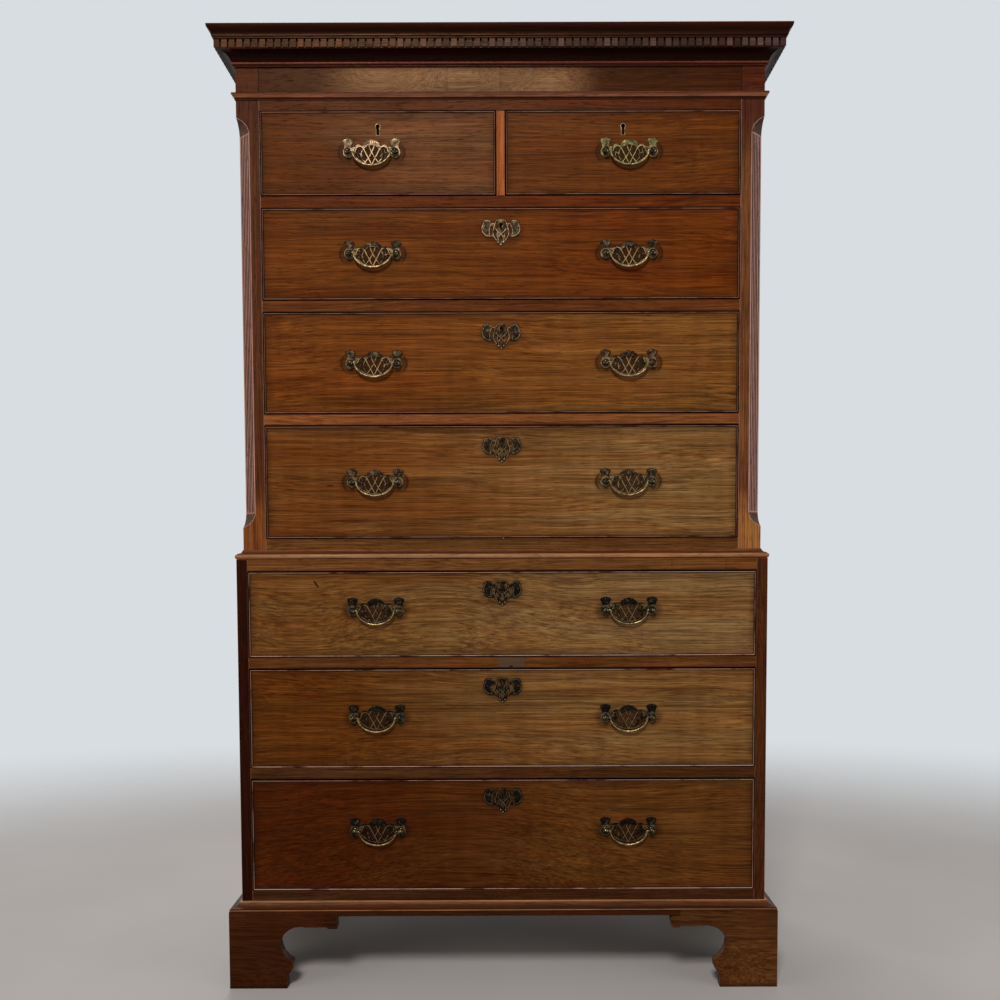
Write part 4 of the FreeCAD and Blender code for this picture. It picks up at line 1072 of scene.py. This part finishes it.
def finish_case():
    """Materials of everything but the drawers' fronts and brass."""
    boxes = [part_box(name + "_front") for name in FRONTS]
    rails = rails_material(sorted({(low.z, high.z) for low, high in boxes}))
    sides = side_material("mahogany_sides", (78, 41, 22), (78, 41, 22), 9.4, 2.2, (92, 52, 28))
    # the right feet are painted lighter than the left ones, as lit from the right
    feet = {"left": foot_material("mahogany_left_feet", (52, 24, 8), (46, 20, 7), 5.2, -1),
            "right": foot_material("mahogany_right_feet", (66, 38, 18), (80, 48, 22), 7.2, 1)}
    looks = {
        "lower_drawer_rails": rails, "upper_drawer_rails": rails,
        # front edges: the left stile painted dark as in shade, the right one lighter as lit from the right
        "lower_side_left": side_material("mahogany_lower_left", (31, 7, 3), (74, 38, 20), 9.1),
        "lower_side_right": side_material("mahogany_lower_right", (60, 30, 12), (74, 38, 20), 9.9),
        "upper_side_left": sides, "upper_side_right": sides,
        "frieze_and_astragal": frieze_material(),
        "cornice_moulding": moulding_material("mahogany_cornice", 5.9, CORNICE_TONES),
        "waist_moulding": moulding_material("mahogany_waist", 1.9, WAIST_TONES)}
    for name, material in looks.items():
        finish_node(name, material, WARM_EDGE)
    finish_node("base_moulding", moulding_material("mahogany_base", 2.9, BASE_TONES), DARK_EDGE)
    for end in ("front", "rear"):
        for hand, material in feet.items():
            finish_node("bracket_foot_%s_%s" % (end, hand), material, DARK_EDGE)
    # the right post is painted lighter than the left, as lit from the right; both posts' pale edges are
    # painted highlights on their arrises as well as rubbed
    finish_node("upper_corner_post_left", post_material(
        "mahogany_post_left", (104, 60, 30), (70, 38, 22), (52, 22, 16), (142, 104, 92), 7.7),
        edge_material("mahogany_left_edges", "Z", (158, 118, 106), 6.2))
    finish_node("upper_corner_post_right", post_material(
        "mahogany_post_right", (134, 88, 48), (94, 58, 34), (60, 28, 19), (166, 126, 116), 8.7),
        edge_material("mahogany_right_edges", "Z", (160, 122, 114), 8.2))
    finish_node("dentil_course", dentil_material())

    inner = oak_material("oak_runners", "Y", (132, 104, 66))
    boards = oak_material("oak_boards", "X", (120, 92, 58))
    for case in ("lower", "upper"):
        finish_node(case + "_dustboards_and_runners", inner)
        finish_node(case + "_top_and_bottom_boards", boards)
    finish_node("backboards", oak_material("oak_backs", "backs", (116, 84, 52)))
    short = oak_material("oak_drawer_sides", "Y", LINING)
    long = oak_material("oak_linings", "turning", LINING)
    for name in FRONTS:
        finish_node(name + "_lining", short if name.startswith("short") else long)


# ---- stage, in metres ----
FLOOR_HALF = 4
AMBIENT, AMBIENT_COLOUR, BACKGROUND = 0.25, (1, 0.985, 0.97, 1), (216, 221, 225)
LAMPS = {  # place, aim, size, power, colour
    "key": ((-0.9, -5.5, 5.3), (0, -0.25, 0.95), 1.4, 365, (1, 0.975, 0.95)),
    "fill_left": ((-3, -1.9, 0.9), (-0.1, -0.25, 0.9), 1.5, 27, (0.98, 0.99, 1)),
    "fill_right": ((3, -1.9, 0.9), (0.1, -0.25, 0.9), 1.5, 27, (1, 0.98, 0.96)),
    "rear": ((-0.9, 3.4, 4.2), (0, 0.28, 1.1), 2, 90, (1, 1, 1))}


def make_floor():
    """Plain pale floor that fades into the background away from the object."""
    mesh = bpy.data.meshes.new("floor")
    corners = [(FLOOR_HALF * x, FLOOR_HALF * y, 0) for x, y in ((-1, -1), (1, -1), (1, 1), (-1, 1))]
    mesh.from_pydata(corners, [], [(0, 1, 2, 3)])
    floor = add_object("floor", mesh)
    g = Graph("floor")
    tint = g.ramp(g.noise(g.place(), 1.3), (0.3, (164, 159, 156)), (0.7, (174, 169, 166)))
    g.set(Base_Color=tint, Roughness=0.6, Specular_IOR_Level=0.25)
    clear = g.node("BsdfTransparent")
    away = g.span(g.vector("LENGTH", g.vector("MULTIPLY", g.place(), (0.62, 1, 1))), 0.85, 2.4)
    mixed = g.node("MixShader", {0: away, 1: g.shader.outputs[0], 2: clear.outputs[0]})
    g.feed(g.tree.nodes["Material Output"].inputs["Surface"], mixed.outputs[0])
    mesh.materials.append(g.data)


def make_world():
    """Even light for the surfaces; camera, glossy and transmission rays see the pale background."""
    g = Graph("world", bpy.data.worlds)
    bpy.context.scene.world = g.data
    g.tree.nodes.clear()
    path = g.node("LightPath").outputs
    seen = g.fold("MAXIMUM", *(path["Is %s Ray" % kind] for kind in ("Camera", "Glossy", "Transmission")))
    light, back = (g.node("Background", {"Color": colour, "Strength": strength}).outputs[0]
                   for colour, strength in ((AMBIENT_COLOUR, AMBIENT), (BACKGROUND, 1)))
    choice = g.node("MixShader", {0: seen, 1: light, 2: back})
    g.node("OutputWorld", {"Surface": choice.outputs[0]})


def make_lamps():
    for name, (place, aim, size, power, colour) in LAMPS.items():
        data = bpy.data.lights.new(name, "AREA")
        data.size, data.energy, data.color = size, power, colour
        lamp = add_object(name, data)
        lamp.location = place
        lamp.rotation_mode = "QUATERNION"
        lamp.rotation_quaternion = (Vector(aim) - Vector(place)).to_track_quat("-Z", "Y")
        lamp.visible_camera = False


make_camera()
make_floor()
make_world()
make_lamps()
finish_case()
MESHES = brass_meshes()
for drawer in FRONTS:
    finish_drawer(drawer)

bpy.context.scene.view_settings.view_transform = "Standard"
